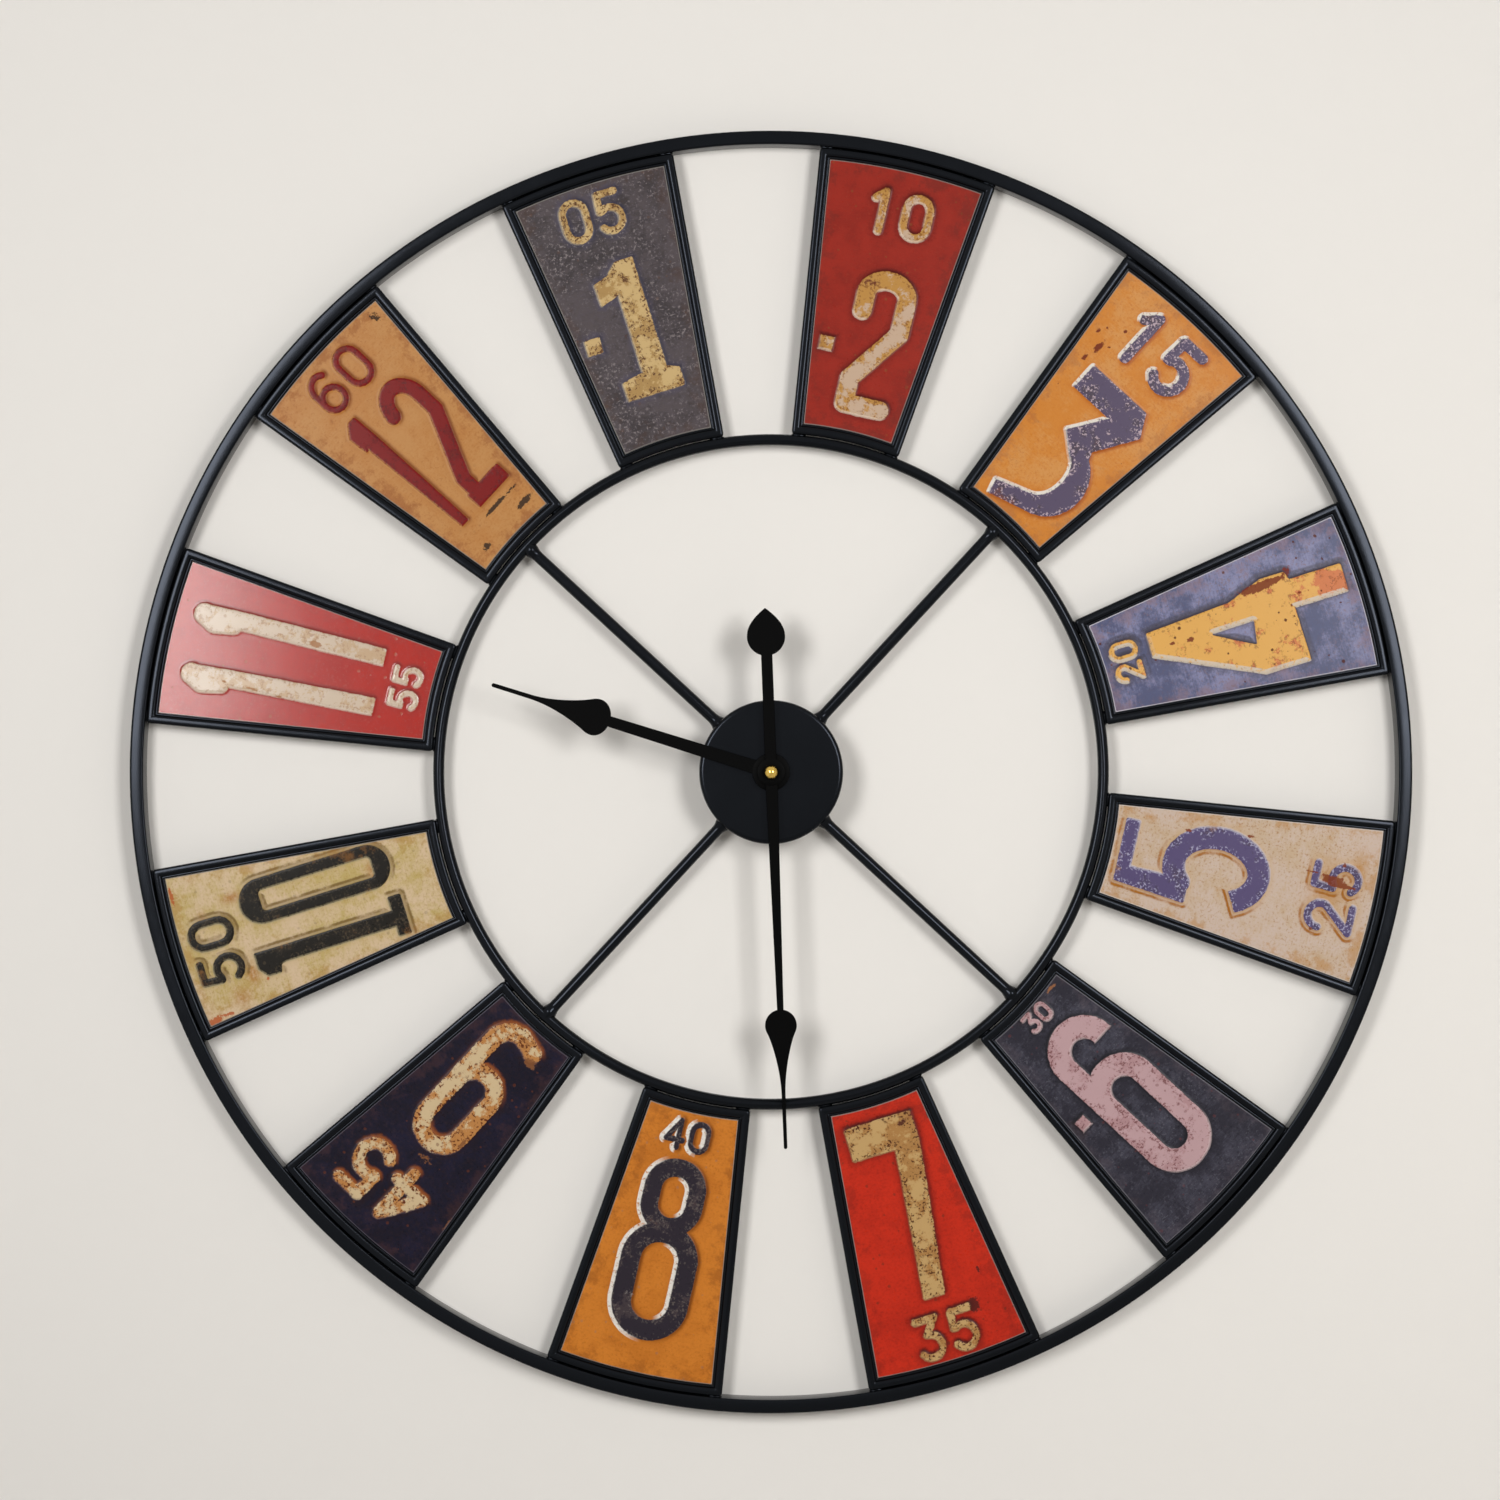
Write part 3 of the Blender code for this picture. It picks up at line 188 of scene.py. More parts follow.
def add_turned(name, section, look, body="clock_frame", stands_for=(), steps=96, closed=True, crease=40):
    """Turned piece: a section's radius r and depth d go round as x = r sin t, z = r cos t, y = -d.  The
    radius may vary with the turn, and an open section begins and ends on the axis."""
    turn = full_turn(steps)
    radius, depth = section
    points = on_dial(radius * np.sin(turn), radius * np.cos(turn), depth)
    faces = grid_faces(*points.shape[:2], wrap_rows=True, wrap_columns=closed)
    return add_piece(name, points, faces, look, body, stands_for, crease=crease)


def add_washer(name, look, sizes, body="clock_frame", stands_for=(), steps=96, ease=(0.0002, 3)):
    """Turned ring of a rectangular section, from its bore, radius, back and front; the ease is the radius of
    its corners and their number of points."""
    bore, radius, low, high = sizes
    section = rounded([(bore, low), (radius, low), (radius, high), (bore, high)], *ease)
    return add_turned(name, section, look, body, stands_for, steps)


def depths(node):
    """Back and front of a solid, measured off the wall."""
    low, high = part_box(node)
    return -high.y, -low.y


print("outer ring from", depths("outer_ring")[0], "to", round(depths("outer_ring")[1], 4), "m off the wall")

# %% [markdown]
# ## Shader helpers
# A finish is a small tree of nodes.  Written out, each sum and product is a call that places a node and
# joins its sockets.  A wire is an output that knows its tree, so a + b or a * b can place that node and be
# the next wire, and the finishes below read like formulas.

# %% Shader helpers
class Wire:
    """Output of a node.  Sums, differences and products with numbers or other wires place Math nodes."""

    def __init__(self, socket):
        self.socket = socket
        self.tree = socket.id_data

    def maths(self, operation, other=0.0):
        return place_node(self.tree, "Math", {0: self, 1: other}, operation=operation)

    def __add__(self, other):
        return self.maths("ADD", other)

    def __sub__(self, other):
        return self.maths("SUBTRACT", other)

    def __mul__(self, other):
        return self.maths("MULTIPLY", other)

    def larger(self, other):
        return self.maths("MAXIMUM", other)

    def feed(self, socket):
        self.tree.links.new(self.socket, socket)


def linear(hex_colour, alpha=1.0):
    """Scene-linear colour of six hexadecimal digits, by the sRGB curve."""
    value = np.array([int(hex_colour[start:start + 2], 16) / 255 for start in (0, 2, 4)])
    straight = np.where(value <= 0.04045, value / 12.92, ((value + 0.055) / 1.055) ** 2.4)
    return (*straight.tolist(), alpha)


def place_node(tree, kind, inputs=None, output=0, **settings):
    """New node of a tree; its inputs are numbers, colours or wires.  Returns the wire of one output."""
    made = tree.nodes.new("ShaderNode" + kind)
    for title, value in settings.items():
        setattr(made, title, value)
    for title, value in (inputs or {}).items():
        if isinstance(value, Wire):
            value.feed(made.inputs[title])
        else:
            made.inputs[title].default_value = value
    return Wire(made.outputs[output])


def tint(amount, base, over):
    """Mix of two colours, from base at 0 to over at 1."""
    return place_node(amount.tree, "Mix", {0: amount, 6: base, 7: over}, output=2, data_type="RGBA")


def soft_step(value, low, high):
    """0 at low and 1 at high, with a smooth run between them."""
    inputs = {"Value": value, "From Min": low, "From Max": high}
    return place_node(value.tree, "MapRange", inputs, interpolation_type="SMOOTHSTEP")


def clouds(where, scale, detail=3.0, roughness=0.55):
    """Noise around 0.5; the scale counts features per unit of the place."""
    inputs = {"Vector": where, "Scale": scale, "Detail": detail, "Roughness": roughness}
    return place_node(where.tree, "TexNoise", inputs)


def object_place(tree):
    return place_node(tree, "TexCoord", output=3)


def stored(tree, title, output=2):
    """Value stored on the mesh; output 1 gives it as a vector."""
    return place_node(tree, "Attribute", output=output, attribute_name=title)


def new_group(name, colours, values, results=("Roughness", "Height")):
    """Empty shader group with named colours and values; it gives a Color and the named results."""
    group = bpy.data.node_groups.new(name, "ShaderNodeTree")
    for title, colour in colours.items():
        socket = group.interface.new_socket(title, in_out="INPUT", socket_type="NodeSocketColor")
        socket.default_value = linear(colour)
    for title, value in values.items():
        socket = group.interface.new_socket(title, in_out="INPUT", socket_type="NodeSocketFloat")
        socket.default_value = value
    group.interface.new_socket("Color", in_out="OUTPUT", socket_type="NodeSocketColor")
    for title in results:
        group.interface.new_socket(title, in_out="OUTPUT", socket_type="NodeSocketFloat")
    entry = group.nodes.new("NodeGroupInput")
    leave = group.nodes.new("NodeGroupOutput")

    def given(title):
        return Wire(entry.outputs[title])

    return group, given, leave.inputs


FEEDS = {"Color": "Base Color", "Roughness": "Roughness", "Metal": "Metallic"}


def new_finish(name, slot, group, values, bump=0.1, bump_distance=0.0002, **shader_values):
    """Material of one group and one Principled shader; its even values go on the shader's own sockets."""
    look = bpy.data.materials.new(name)
    look["slot"] = slot
    look.use_nodes = True
    tree = look.node_tree
    shader = tree.nodes["Principled BSDF"]
    for title, value in shader_values.items():
        shader.inputs[title.replace("_", " ")].default_value = value
    effect = tree.nodes.new("ShaderNodeGroup")
    effect.node_tree = group
    for title, value in values.items():
        effect.inputs[title].default_value = linear(value) if isinstance(value, str) else value
    for result in effect.outputs:
        if result.name in FEEDS:
            Wire(result).feed(shader.inputs[FEEDS[result.name]])
    relief = {"Height": Wire(effect.outputs["Height"]), "Strength": bump, "Distance": bump_distance}
    place_node(tree, "Bump", relief).feed(shader.inputs["Normal"])
    return look


print("helpers for node trees are ready")

# %% [markdown]
# ## Painted steel, plastic and rubber
# The frame is powder coated: a satin black with a fine orange peel, patches of fine dust and slow changes
# of gloss.  Hands, movement case and rubber differ only in colour, gloss and grain, so one group makes all
# of them with different values.

# %% Coated surfaces
coat_group, given, made = new_group(
    "coated surface",
    {"Colour": "17181B", "Dust": "3A3A3C"},
    {"Gloss Low": 0.36, "Gloss High": 0.5, "Grain": 1500.0, "Dust Amount": 0.15},
)


def gloss_run(given, value, low, high):
    """Roughness from a group's Gloss Low to its Gloss High while the value goes from low to high."""
    inputs = {"Value": value, "From Min": low, "From Max": high}
    inputs.update({"To Min": given("Gloss Low"), "To Max": given("Gloss High")})
    return place_node(value.tree, "MapRange", inputs)


where = object_place(coat_group)
grain = clouds(where, given("Grain"), 2.0)
haze = clouds(where, 38.0, 5.0, 0.6)
fleck = clouds(where, 900.0, 4.0, 0.7)
dusty = soft_step(haze, 0.42, 0.75) * soft_step(fleck, 0.5, 0.72) * given("Dust Amount")
tint(dusty, given("Colour"), given("Dust")).feed(made["Color"])
gloss_run(given, haze + grain * 0.4, 0.45, 0.95).feed(made["Roughness"])
grain.feed(made["Height"])

COOL_SHEEN = (0.74, 0.82, 1.0, 1.0)
black_coat = new_finish(
    "satin black coat", "black_paint", coat_group,
    {"Colour": "040506", "Dust": "1C1C1F", "Gloss Low": 0.14, "Gloss High": 0.21}, bump=0.1,
    Specular_IOR_Level=0.16, Specular_Tint=COOL_SHEEN,
)
hand_coat = new_finish(
    "matt black coat", "hand_paint", coat_group,
    {"Colour": "020202", "Dust": "0C0C0C", "Gloss Low": 0.4, "Gloss High": 0.5, "Grain": 2200.0,
     "Dust Amount": 0.08},
    bump=0.08, Specular_IOR_Level=0.03,
)
case_plastic = new_finish(
    "moulded case plastic", "case_plastic", coat_group,
    {"Colour": "1B1B1D", "Gloss Low": 0.46, "Gloss High": 0.6, "Grain": 2600.0, "Dust Amount": 0.1},
    bump=0.2, Specular_IOR_Level=0.45,
)
wheel_plastic = new_finish(
    "natural wheel plastic", "wheel_plastic", coat_group,
    {"Colour": "E6E2D6", "Dust": "C9C2B0", "Gloss Low": 0.4, "Gloss High": 0.5, "Grain": 1200.0}, bump=0.04,
)
soft_rubber = new_finish(
    "washer rubber", "rubber", coat_group,
    {"Colour": "131313", "Gloss Low": 0.7, "Gloss High": 0.85, "Dust Amount": 0.25}, bump=0.25,
)
board_lacquer = new_finish(
    "board lacquer", "board_green", coat_group,
    {"Colour": "1F5A33", "Dust": "2F7A48", "Gloss Low": 0.35, "Gloss High": 0.5, "Grain": 700.0}, bump=0.08,
)
print("six coated finishes")

# %% [markdown]
# ## Metals
# The domed nut is polished brass, the washers and the bush are turned brass, the contacts are nickel-plated
# spring steel and the coil is enamelled copper wire.  Turning leaves fine rings round the axis, so the
# group draws a wave over the distance from it; a little tarnish changes the colour in patches.

# %% Metals
metal_group, given, made = new_group(
    "worked metal",
    {"Colour": "C9A24A", "Tarnish": "7A5A22"},
    {"Gloss Low": 0.1, "Gloss High": 0.25, "Rings": 5200.0, "Tarnish Amount": 0.3},
)
where = object_place(metal_group)
in_dial = place_node(metal_group, "VectorMath", {0: where, 1: (1.0, 0.0, 1.0)}, operation="MULTIPLY")
off_axis = place_node(metal_group, "VectorMath", {0: in_dial}, output=1, operation="LENGTH")
patch = clouds(where, 260.0, 5.0, 0.6)
dull = soft_step(patch, 0.45, 0.7) * given("Tarnish Amount")
tint(dull, given("Colour"), given("Tarnish")).feed(made["Color"])
gloss_run(given, patch, 0.3, 0.7).feed(made["Roughness"])
(off_axis * given("Rings")).maths("SINE").feed(made["Height"])

polished_brass = new_finish(
    "polished brass", "brass", metal_group,
    {"Colour": "D9B65C", "Gloss Low": 0.06, "Gloss High": 0.12, "Tarnish Amount": 0.12},
    bump=0.01, Metallic=1.0,
)
turned_brass = new_finish(
    "turned brass", "brass", metal_group, {"Gloss Low": 0.22, "Gloss High": 0.36}, bump=0.1, Metallic=1.0,
)
spring_steel = new_finish(
    "plated spring steel", "steel", metal_group,
    {"Colour": "B8B8B4", "Tarnish": "86837A", "Gloss Low": 0.25, "Gloss High": 0.4}, bump=0.05, Metallic=1.0,
)
coil_copper = new_finish(
    "enamelled wire", "coil_wire", metal_group,
    {"Colour": "A4552C", "Tarnish": "6E3018", "Gloss Low": 0.3, "Gloss High": 0.45}, bump=0.1, Metallic=1.0,
)
print("four metals")

# %% [markdown]
# ## The two rings
# The outer ring is flat bar bent on edge and welded shut, the inner ring is round rod.  Both are one
# profile carried round the axis: a rounded rectangle and a circle.  A torus primitive would do for the rod,
# but the same turning function makes both and keeps the seam closed.

# %% Rings
ring_low, ring_high = depths("outer_ring")
ring_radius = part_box("outer_ring")[1].x
BAR_WIDTH = 0.0085
BAR_EDGE = 0.0015
bar = rounded(
    [(ring_radius, ring_low), (ring_radius, ring_high), (ring_radius - BAR_WIDTH, ring_high),
     (ring_radius - BAR_WIDTH, ring_low)],
    BAR_EDGE,
)
add_turned("outer_ring_bar", bar, black_coat, stands_for=["outer_ring"], steps=360)

ROD_RADIUS = 0.0035
inner_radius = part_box("inner_ring")[1].x - ROD_RADIUS
rod_depth = sum(depths("inner_ring")) / 2
round_turn = np.linspace(0.0, 2 * np.pi, 24, endpoint=False)
rod = (inner_radius + ROD_RADIUS * np.cos(round_turn), rod_depth + ROD_RADIUS * np.sin(round_turn))
add_turned("inner_ring_rod", rod, black_coat, stands_for=["inner_ring"], steps=288)
print("rings of radius", round(ring_radius, 4), "and", round(inner_radius + ROD_RADIUS, 4))

# %% [markdown]
# ## The hub
# A pressed cup carries the hands and hides the movement.  Its section is an L with a rounded front edge,
# turned about the axis.  A solid disc with a bevel would look the same from the front, but the cup is open
# at the back, so the section has an inside as well.

# %% Hub
hub_low, hub_high = depths("hub_cup")
hub_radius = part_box("hub_cup")[1].x
HUB_WALL = 0.0012
HUB_HOLE = 0.0043
HUB_EDGES = [0.0002, 0.0030, 0.0004, 0.0004, 0.0018, 0.0002]
cup = rounded(
    [(HUB_HOLE, hub_high), (hub_radius, hub_high), (hub_radius, hub_low), (hub_radius - HUB_WALL, hub_low),
     (hub_radius - HUB_WALL, hub_high - HUB_WALL), (HUB_HOLE, hub_high - HUB_WALL)],
    HUB_EDGES, steps=8,
)
add_turned("hub_shell", cup, black_coat, stands_for=["hub_cup"], steps=192)
print("hub of", round(2000 * hub_radius, 1), "mm")

# %% [markdown]
# ## The struts and their welds
# Four rods join the hub to the inner ring.  Where a rod meets the hub and the ring there is a small fillet
# of weld under the paint.  The rod is a tube whose radius swells towards both ends, so rod and weld are one
# surface: r = rod + swell (exp(-(s/l)^2) + share exp(-(e/l)^2)), with s from the hub and e from the ring.

# %% Struts
SWELL = 0.0016
SWELL_LENGTH = 0.0030
RING_SHARE = 0.8                       # the weld at the ring is smaller than the one at the hub
HUB_OVERLAP = 0.0008                   # how far the rod reaches into the hub's wall
FINE, PLAIN = 0.012, 0.020             # closely spaced rows end and wide ones begin, from either end
strut_start = hub_radius - HUB_OVERLAP
strut_end = inner_radius
strut_length = strut_end - strut_start
along = np.concatenate([
    np.linspace(0.0, FINE, 14), np.linspace(PLAIN, strut_length - PLAIN, 6),
    np.linspace(strut_length - FINE, strut_length, 14),
])
to_ring = strut_length - along - ROD_RADIUS
swell = np.exp(-(along / SWELL_LENGTH) ** 2) + RING_SHARE * np.exp(-(to_ring / SWELL_LENGTH) ** 2)
reach = (ROD_RADIUS + SWELL * swell)[:, None]
outwards = (strut_start + along)[:, None]
for hour in (12, 3, 6, 9):
    depth = rod_depth + reach * np.sin(round_turn)
    points = on_dial(reach * np.cos(round_turn), outwards, depth, HOUR_TURN * hour)
    add_piece(
        f"strut_rod_{hour:02d}", points, tube_faces(len(along), len(round_turn)), black_coat,
        stands_for=[f"strut_{hour:02d}"],
    )
print("four struts from", round(strut_start, 4), "to", round(strut_end, 4))

# %% [markdown]
# ## The wedge trays
# Each number plate lies in a tray of pressed sheet with a rolled rim.  The tray is a profile carried round
# a wedge: straight sides, ends that follow the rings and small round corners.  A bevelled extrusion has
# the same outline, but the profile gives the roll, the groove beside its lip and the pressed back edge.

# %% Wedge outline
FOOT_HALF = 0.0341
HEAD_HALF = 0.0561
WELD_GAP = 0.0004
foot_radius = inner_radius + ROD_RADIUS + WELD_GAP
head_radius = ring_radius - BAR_WIDTH - WELD_GAP
foot = np.array([FOOT_HALF, math.sqrt(foot_radius**2 - FOOT_HALF**2)])
head = np.array([HEAD_HALF, math.sqrt(head_radius**2 - HEAD_HALF**2)])
side = (head - foot) / np.linalg.norm(head - foot)
inward = np.array([-side[1], side[0]])


def side_crossing(inset, radius):
    """Where the wedge's right side, moved in by inset, crosses a circle about the axis."""
    start = foot + np.asarray(inset)[..., None] * inward
    middle = start @ side
    run = np.sqrt(middle**2 - (start**2).sum(-1) + np.asarray(radius) ** 2) - middle
    return start + side * run[..., None]


def wedge(inset, corner, steps=(10, 5, 12, 14)):
    """Closed wedge outlines, one per inset.  The right half runs along the inner arc, a corner, the side, a
    corner and the outer arc; the left half is its mirror image."""
    inset = np.asarray(inset, float)
    corner = np.asarray(corner, float)
    inner = foot_radius + inset
    outer = head_radius - inset
    low = side_crossing(inset, inner)
    high = side_crossing(inset, outer)
    low_turn = np.arctan2(low[:, 0], low[:, 1]) - corner / inner
    high_turn = np.arctan2(high[:, 0], high[:, 1]) - corner / outer

    def arc(radius, turns):
        return np.stack([radius[:, None] * np.sin(turns), radius[:, None] * np.cos(turns)], -1)

    def bend(a, c, b):
        return quadratic(a[:, None], c[:, None], b[:, None], np.linspace(0.0, 1.0, steps[1])[None, :, None])

    inner_arc = arc(inner, low_turn[:, None] * np.linspace(0.0, 1.0, steps[0]))
    outer_arc = arc(outer, high_turn[:, None] * np.linspace(1.0, 0.0, steps[3]))
    side_low = low + side * corner[:, None]
    side_high = high - side * corner[:, None]
    t = np.linspace(0.0, 1.0, steps[2])[None, 1:-1, None]
    straight = side_low[:, None] * (1 - t) + side_high[:, None] * t
    right = np.concatenate([
        inner_arc[:, :-1], bend(inner_arc[:, -1], low, side_low), straight,
        bend(side_high, high, outer_arc[:, 0]), outer_arc[:, 1:],
    ], axis=1)
    left = right[:, -2:0:-1] * np.array([-1.0, 1.0])
    return np.concatenate([right, left], axis=1)


print("wedge from", round(foot_radius, 4), "to", round(head_radius, 4))

# %% Trays
tray_low, tray_high = depths("tray_12")
BEAD_SPAN = 0.0052
BEAD_RISE = 0.0022
CROWN_POWER = 3.0                      # 2 is an ellipse; 3 has a flatter crown and fuller shoulders
LIP_SPAN = 0.0013
LIP_RISE = 0.0004
GROOVE_DROP = 0.0016                   # from the crown down to the groove between bead and lip
TRAY_FLOOR = 0.0012
TRAY_CORNER = 0.0026
BACK_EDGE = 0.0008
INNER_LEAN = 0.0001
rim_width = BEAD_SPAN + LIP_SPAN


def crown(span, rise, count):
    """Half of a superellipse: across = span/2 (1 - c), up = rise s, where c and s are the cosine and the
    sine to the power 2/n."""
    turn = np.linspace(0.0, np.pi, count)
    c, s = np.cos(turn), np.sin(turn)
    power = 2 / CROWN_POWER
    return span / 2 * (1 - np.sign(c) * np.abs(c) ** power), rise * np.abs(s) ** power


back_turn = np.linspace(0.0, np.pi / 2, 4)
bead_across, bead_up = crown(BEAD_SPAN, BEAD_RISE, 19)
lip_across, lip_up = crown(LIP_SPAN, LIP_RISE, 7)
bead_up = np.where(bead_across < BEAD_SPAN / 2, bead_up, np.maximum(bead_up, BEAD_RISE - GROOVE_DROP))
profile_inset = np.concatenate([
    BACK_EDGE * (1 - np.sin(back_turn)), bead_across, BEAD_SPAN + lip_across[1:], [rim_width + INNER_LEAN],
])
profile_depth = np.concatenate([
    tray_low + BACK_EDGE * (1 - np.cos(back_turn)), tray_high - BEAD_RISE + bead_up,
    tray_high - GROOVE_DROP + lip_up[1:], [tray_low + TRAY_FLOOR],
])
outlines = wedge(profile_inset, np.maximum(TRAY_CORNER - profile_inset, TRAY_CORNER / 4))
for hour in range(1, 13):
    points = on_dial(outlines[..., 0], outlines[..., 1], profile_depth[:, None], HOUR_TURN * hour)
    add_piece(
        f"rimmed_tray_{hour:02d}", points, tube_faces(*outlines.shape[:2]), black_coat,
        stands_for=[f"tray_{hour:02d}"],
    )
print("twelve trays of", outlines.shape[0], "by", outlines.shape[1], "points")

# %% [markdown]
# ## Welds of the trays
# The trays are welded to both rings at their corners.  A weld bead is a drop with ripples across it: an
# ellipsoid whose radius waves along its length.  All beads are one mesh, because they are one kind of
# thing, and the points of all of them come from one array.

# %% Welds
WELD_LENGTH = 0.0046
WELD_WIDTH = 0.0019
WELD_HEIGHT = 0.0026
RIPPLES, RIPPLE = 9.0, 0.10
WELD_ASIDE = 0.0045                    # from the tray's corner along the ring
WELD_SINK = 0.0010                     # behind the middle of the rods
WELD_IN, WELD_OUT = 0.0006, 0.0004     # from the tray's ends towards the rings
tip_turn = np.linspace(0.0, np.pi, 15)[:, None]
belt = np.linspace(0.0, 2 * np.pi, 14, endpoint=False)[None, :]
ripple = 1.0 + RIPPLE * np.sin(RIPPLES * tip_turn) * np.sin(tip_turn)
bead = np.stack(np.broadcast_arrays(
    WELD_LENGTH * np.cos(tip_turn), WELD_WIDTH * np.sin(tip_turn) * np.cos(belt) * ripple,
    WELD_HEIGHT * np.sin(tip_turn) * np.sin(belt) * ripple,
), axis=-1)
seams = (
    (side_crossing(0.0, foot_radius), foot_radius - WELD_IN),
    (side_crossing(0.0, head_radius), head_radius + WELD_OUT),
)
beads = []
for hour in range(1, 13):
    for corner, radius in seams:
        for hand in (-1, 1):
            aside = math.degrees(math.atan2(corner[0], corner[1]) - WELD_ASIDE / radius)
            depth = rod_depth - WELD_SINK + bead[..., 2]
            turn = aside * hand + HOUR_TURN * hour
            beads.append(on_dial(bead[..., 0], radius + bead[..., 1], depth, turn))
beads = np.array(beads)
count, rows, columns = beads.shape[:3]
one = np.array(grid_faces(rows, columns, wrap_columns=True))
faces = (one[None] + np.arange(count)[:, None, None] * rows * columns).reshape(-1, 4).tolist()
add_piece("tray_welds", beads, faces, black_coat)
print(count, "weld beads")

# %% [markdown]
# ## Drawing the figures as distances
# A figure is drawn as a signed distance in millimetres: negative inside its lines, positive outside.  One
# number per grid point then gives three things at once: where the paint of the figure is, how far the
# pressed relief has risen, and where the edge is worn.  Strokes, blocks and rounded loops are enough.

# %% Distance fields
def stroke(x, y, path, half):
    """Distance to a line through the given points, less half its width: a round-ended stroke."""
    nearest = np.full(x.shape, np.inf)
    for (ax, ay), (bx, by) in zip(path, path[1:]):
        dx, dy = bx - ax, by - ay
        t = np.clip(((x - ax) * dx + (y - ay) * dy) / max(dx * dx + dy * dy, 1e-9), 0.0, 1.0)
        nearest = np.minimum(nearest, np.hypot(x - ax - t * dx, y - ay - t * dy))
    return nearest - half


def block(x, y, corners, rounding=1.2):
    """Distance to a filled polygon, grown by a rounding; a ray that crosses its sides tells in from out."""
    closed = [*corners, corners[0]]
    inside = np.zeros(x.shape, bool)
    for (ax, ay), (bx, by) in zip(closed, closed[1:]):
        if ay != by:
            inside ^= ((ay > y) != (by > y)) & (x < ax + (bx - ax) * (y - ay) / (by - ay))
    edge = stroke(x, y, closed, 0.0)
    return np.where(inside, -edge, edge) - rounding


def loop(x, y, centre, half_width, half_height, half):
    """Distance to a round-cornered ring: a rounded box's distance, folded about its edge."""
    corner = min(half_width, half_height)
    qx = np.abs(x - centre[0]) - (half_width - corner)
    qy = np.abs(y - centre[1]) - (half_height - corner)
    box = np.hypot(np.maximum(qx, 0.0), np.maximum(qy, 0.0)) + np.minimum(np.maximum(qx, qy), 0.0) - corner
    return np.abs(box) - half


def bow(centre, wide, high, start, stop, count=16):
    """Points on an ellipse from one angle to another, in degrees."""
    turn = np.radians(np.linspace(start, stop, count))
    return list(zip(centre[0] + wide * np.cos(turn), centre[1] + high * np.sin(turn)))


def dot(x, y, centre, half):
    return np.maximum(np.abs(x - centre[0]), np.abs(y - centre[1])) - half


print("strokes, blocks and loops")

# %% [markdown]
# ## The hour figures
# The figures stand on their plates in twelve different hands: slab, block and round.  Each is a function of
# the plate's own millimetres, x to the right and y upwards as it is read.  The lower five are read
# from the rim, the others from the hub.

# %% Hour figures
def one_slab(x, y):
    flag = [(15, 42), (5, 42), (-2, 35), (-11, 32), (-10.5, 20), (1.7, 24), (1.7, -29)]
    return block(x, y, flag + [(-12, -32), (-12, -42), (23, -42), (23, -32), (15.5, -29)])


def two_round(x, y):
    top = bow((0, 30), 13, 10.2, 180, 0)
    return stroke(x, y, [(-13, 19), *top, (13, 9), (-11.5, -24), (-11.5, -40), (11, -40)], 5.8)


def three_flat(x, y):
    outer = bow((4, -18), 23.5, 25.5, 62, -72, 14)
    inner = bow((0, -16.5), 13, 18.5, -78, 48, 12)
    edge = [(-22, 50.3), (21.5, 50.3), (28.8, 37), (12.5, 10.5), *outer, (-16.5, -50.5), (-19, -42.5), *inner]
    return block(x, y, edge + [(-7.5, 10.5), (8, 34), (-22, 34)])


def four_closed(x, y):
    outline = [(18, -63.3), (18, -30), (23.4, -28.3), (23.4, -13.5), (15, 9), (12, 63.3), (-1.6, 63.3)]
    outline += [(-31.8, -0.5), (-31.8, -28.3), (2.6, -28.3), (2.6, -63.3)]
    counter = block(x, y, [(0.6, -1.6), (-12.8, 0.6), (0.2, 24)], 0.8)
    return np.maximum(block(x, y, outline), -counter)


def cut_flat(x, y, path, half):
    """Stroke that ends square at its path's last point, where beyond = (place - end) along the last step."""
    field = stroke(x, y, path, half)
    (ax, ay), (bx, by) = path[-2:]
    beyond = ((x - bx) * (bx - ax) + (y - by) * (by - ay)) / math.hypot(bx - ax, by - ay)
    near_end = np.hypot(x - bx, y - by) < 1.9 * half
    return np.where(near_end, np.maximum(field, beyond), field)


def five_round(x, y):
    flag = block(x, y, [(-18.3, 46.3), (19.3, 46.3), (19.3, 39.7), (-9.5, 39.7), (-10.5, 2.5), (-22.8, 2.5)])
    bowl = bow((0.5, -14), 20, 27, 128, -150, 24)
    return np.minimum(flag, cut_flat(x, y, bowl, 7.0))


def six_round(x, y):
    tail = [(-18.7, -17), (-18.7, 38), *bow((-3, 38), 15.7, 15.7, 180, 0), (12.7, 37)]
    return np.minimum(loop(x, y, (-3, -17.5), 15.7, 36.7, 7.2), cut_flat(x, y, tail, 7.2))


def seven_block(x, y):
    bar = [(0.6, 38.2), (-26.8, 38.2), (-26.8, 56.8), (14.3, 56.8), (14.3, 37)]
    return block(x, y, bar + [(1.2, -56.8), (-10.2, -56.8)])


def eight_round(x, y):
    return np.minimum(loop(x, y, (-1, -22), 18, 31, 6.5), loop(x, y, (-1, 31.5), 14, 18.7, 5.8))


def nine_round(x, y):
    tail = [(17, 16), (17, -30), *bow((4, -30), 13, 13, 0, -90, 10), (-8, -39.5)]
    return np.minimum(loop(x, y, (3.7, 16.7), 13.3, 27, 5.7), stroke(x, y, tail, 5.7))


def ten_slim(x, y):
    one = [(-15.2, 48), (-24, 48), (-29.2, 43.5), (-29.2, 36.2), (-25.5, 35.4), (-24, 34), (-23.5, 31)]
    one += [(-23.3, -42), (-29.8, -42), (-29.8, -48.3), (-6.2, -48.3), (-6.2, -42), (-15.2, -42)]
    opening = block(x, y, [(12, -35), (20, -35), (20, 32.7), (12, 32.7)], 2.5)
    zero = np.maximum(stroke(x, y, [(16, -34.5), (16, 34.5)], 14.4), -opening)
    return np.minimum(block(x, y, one), zero)


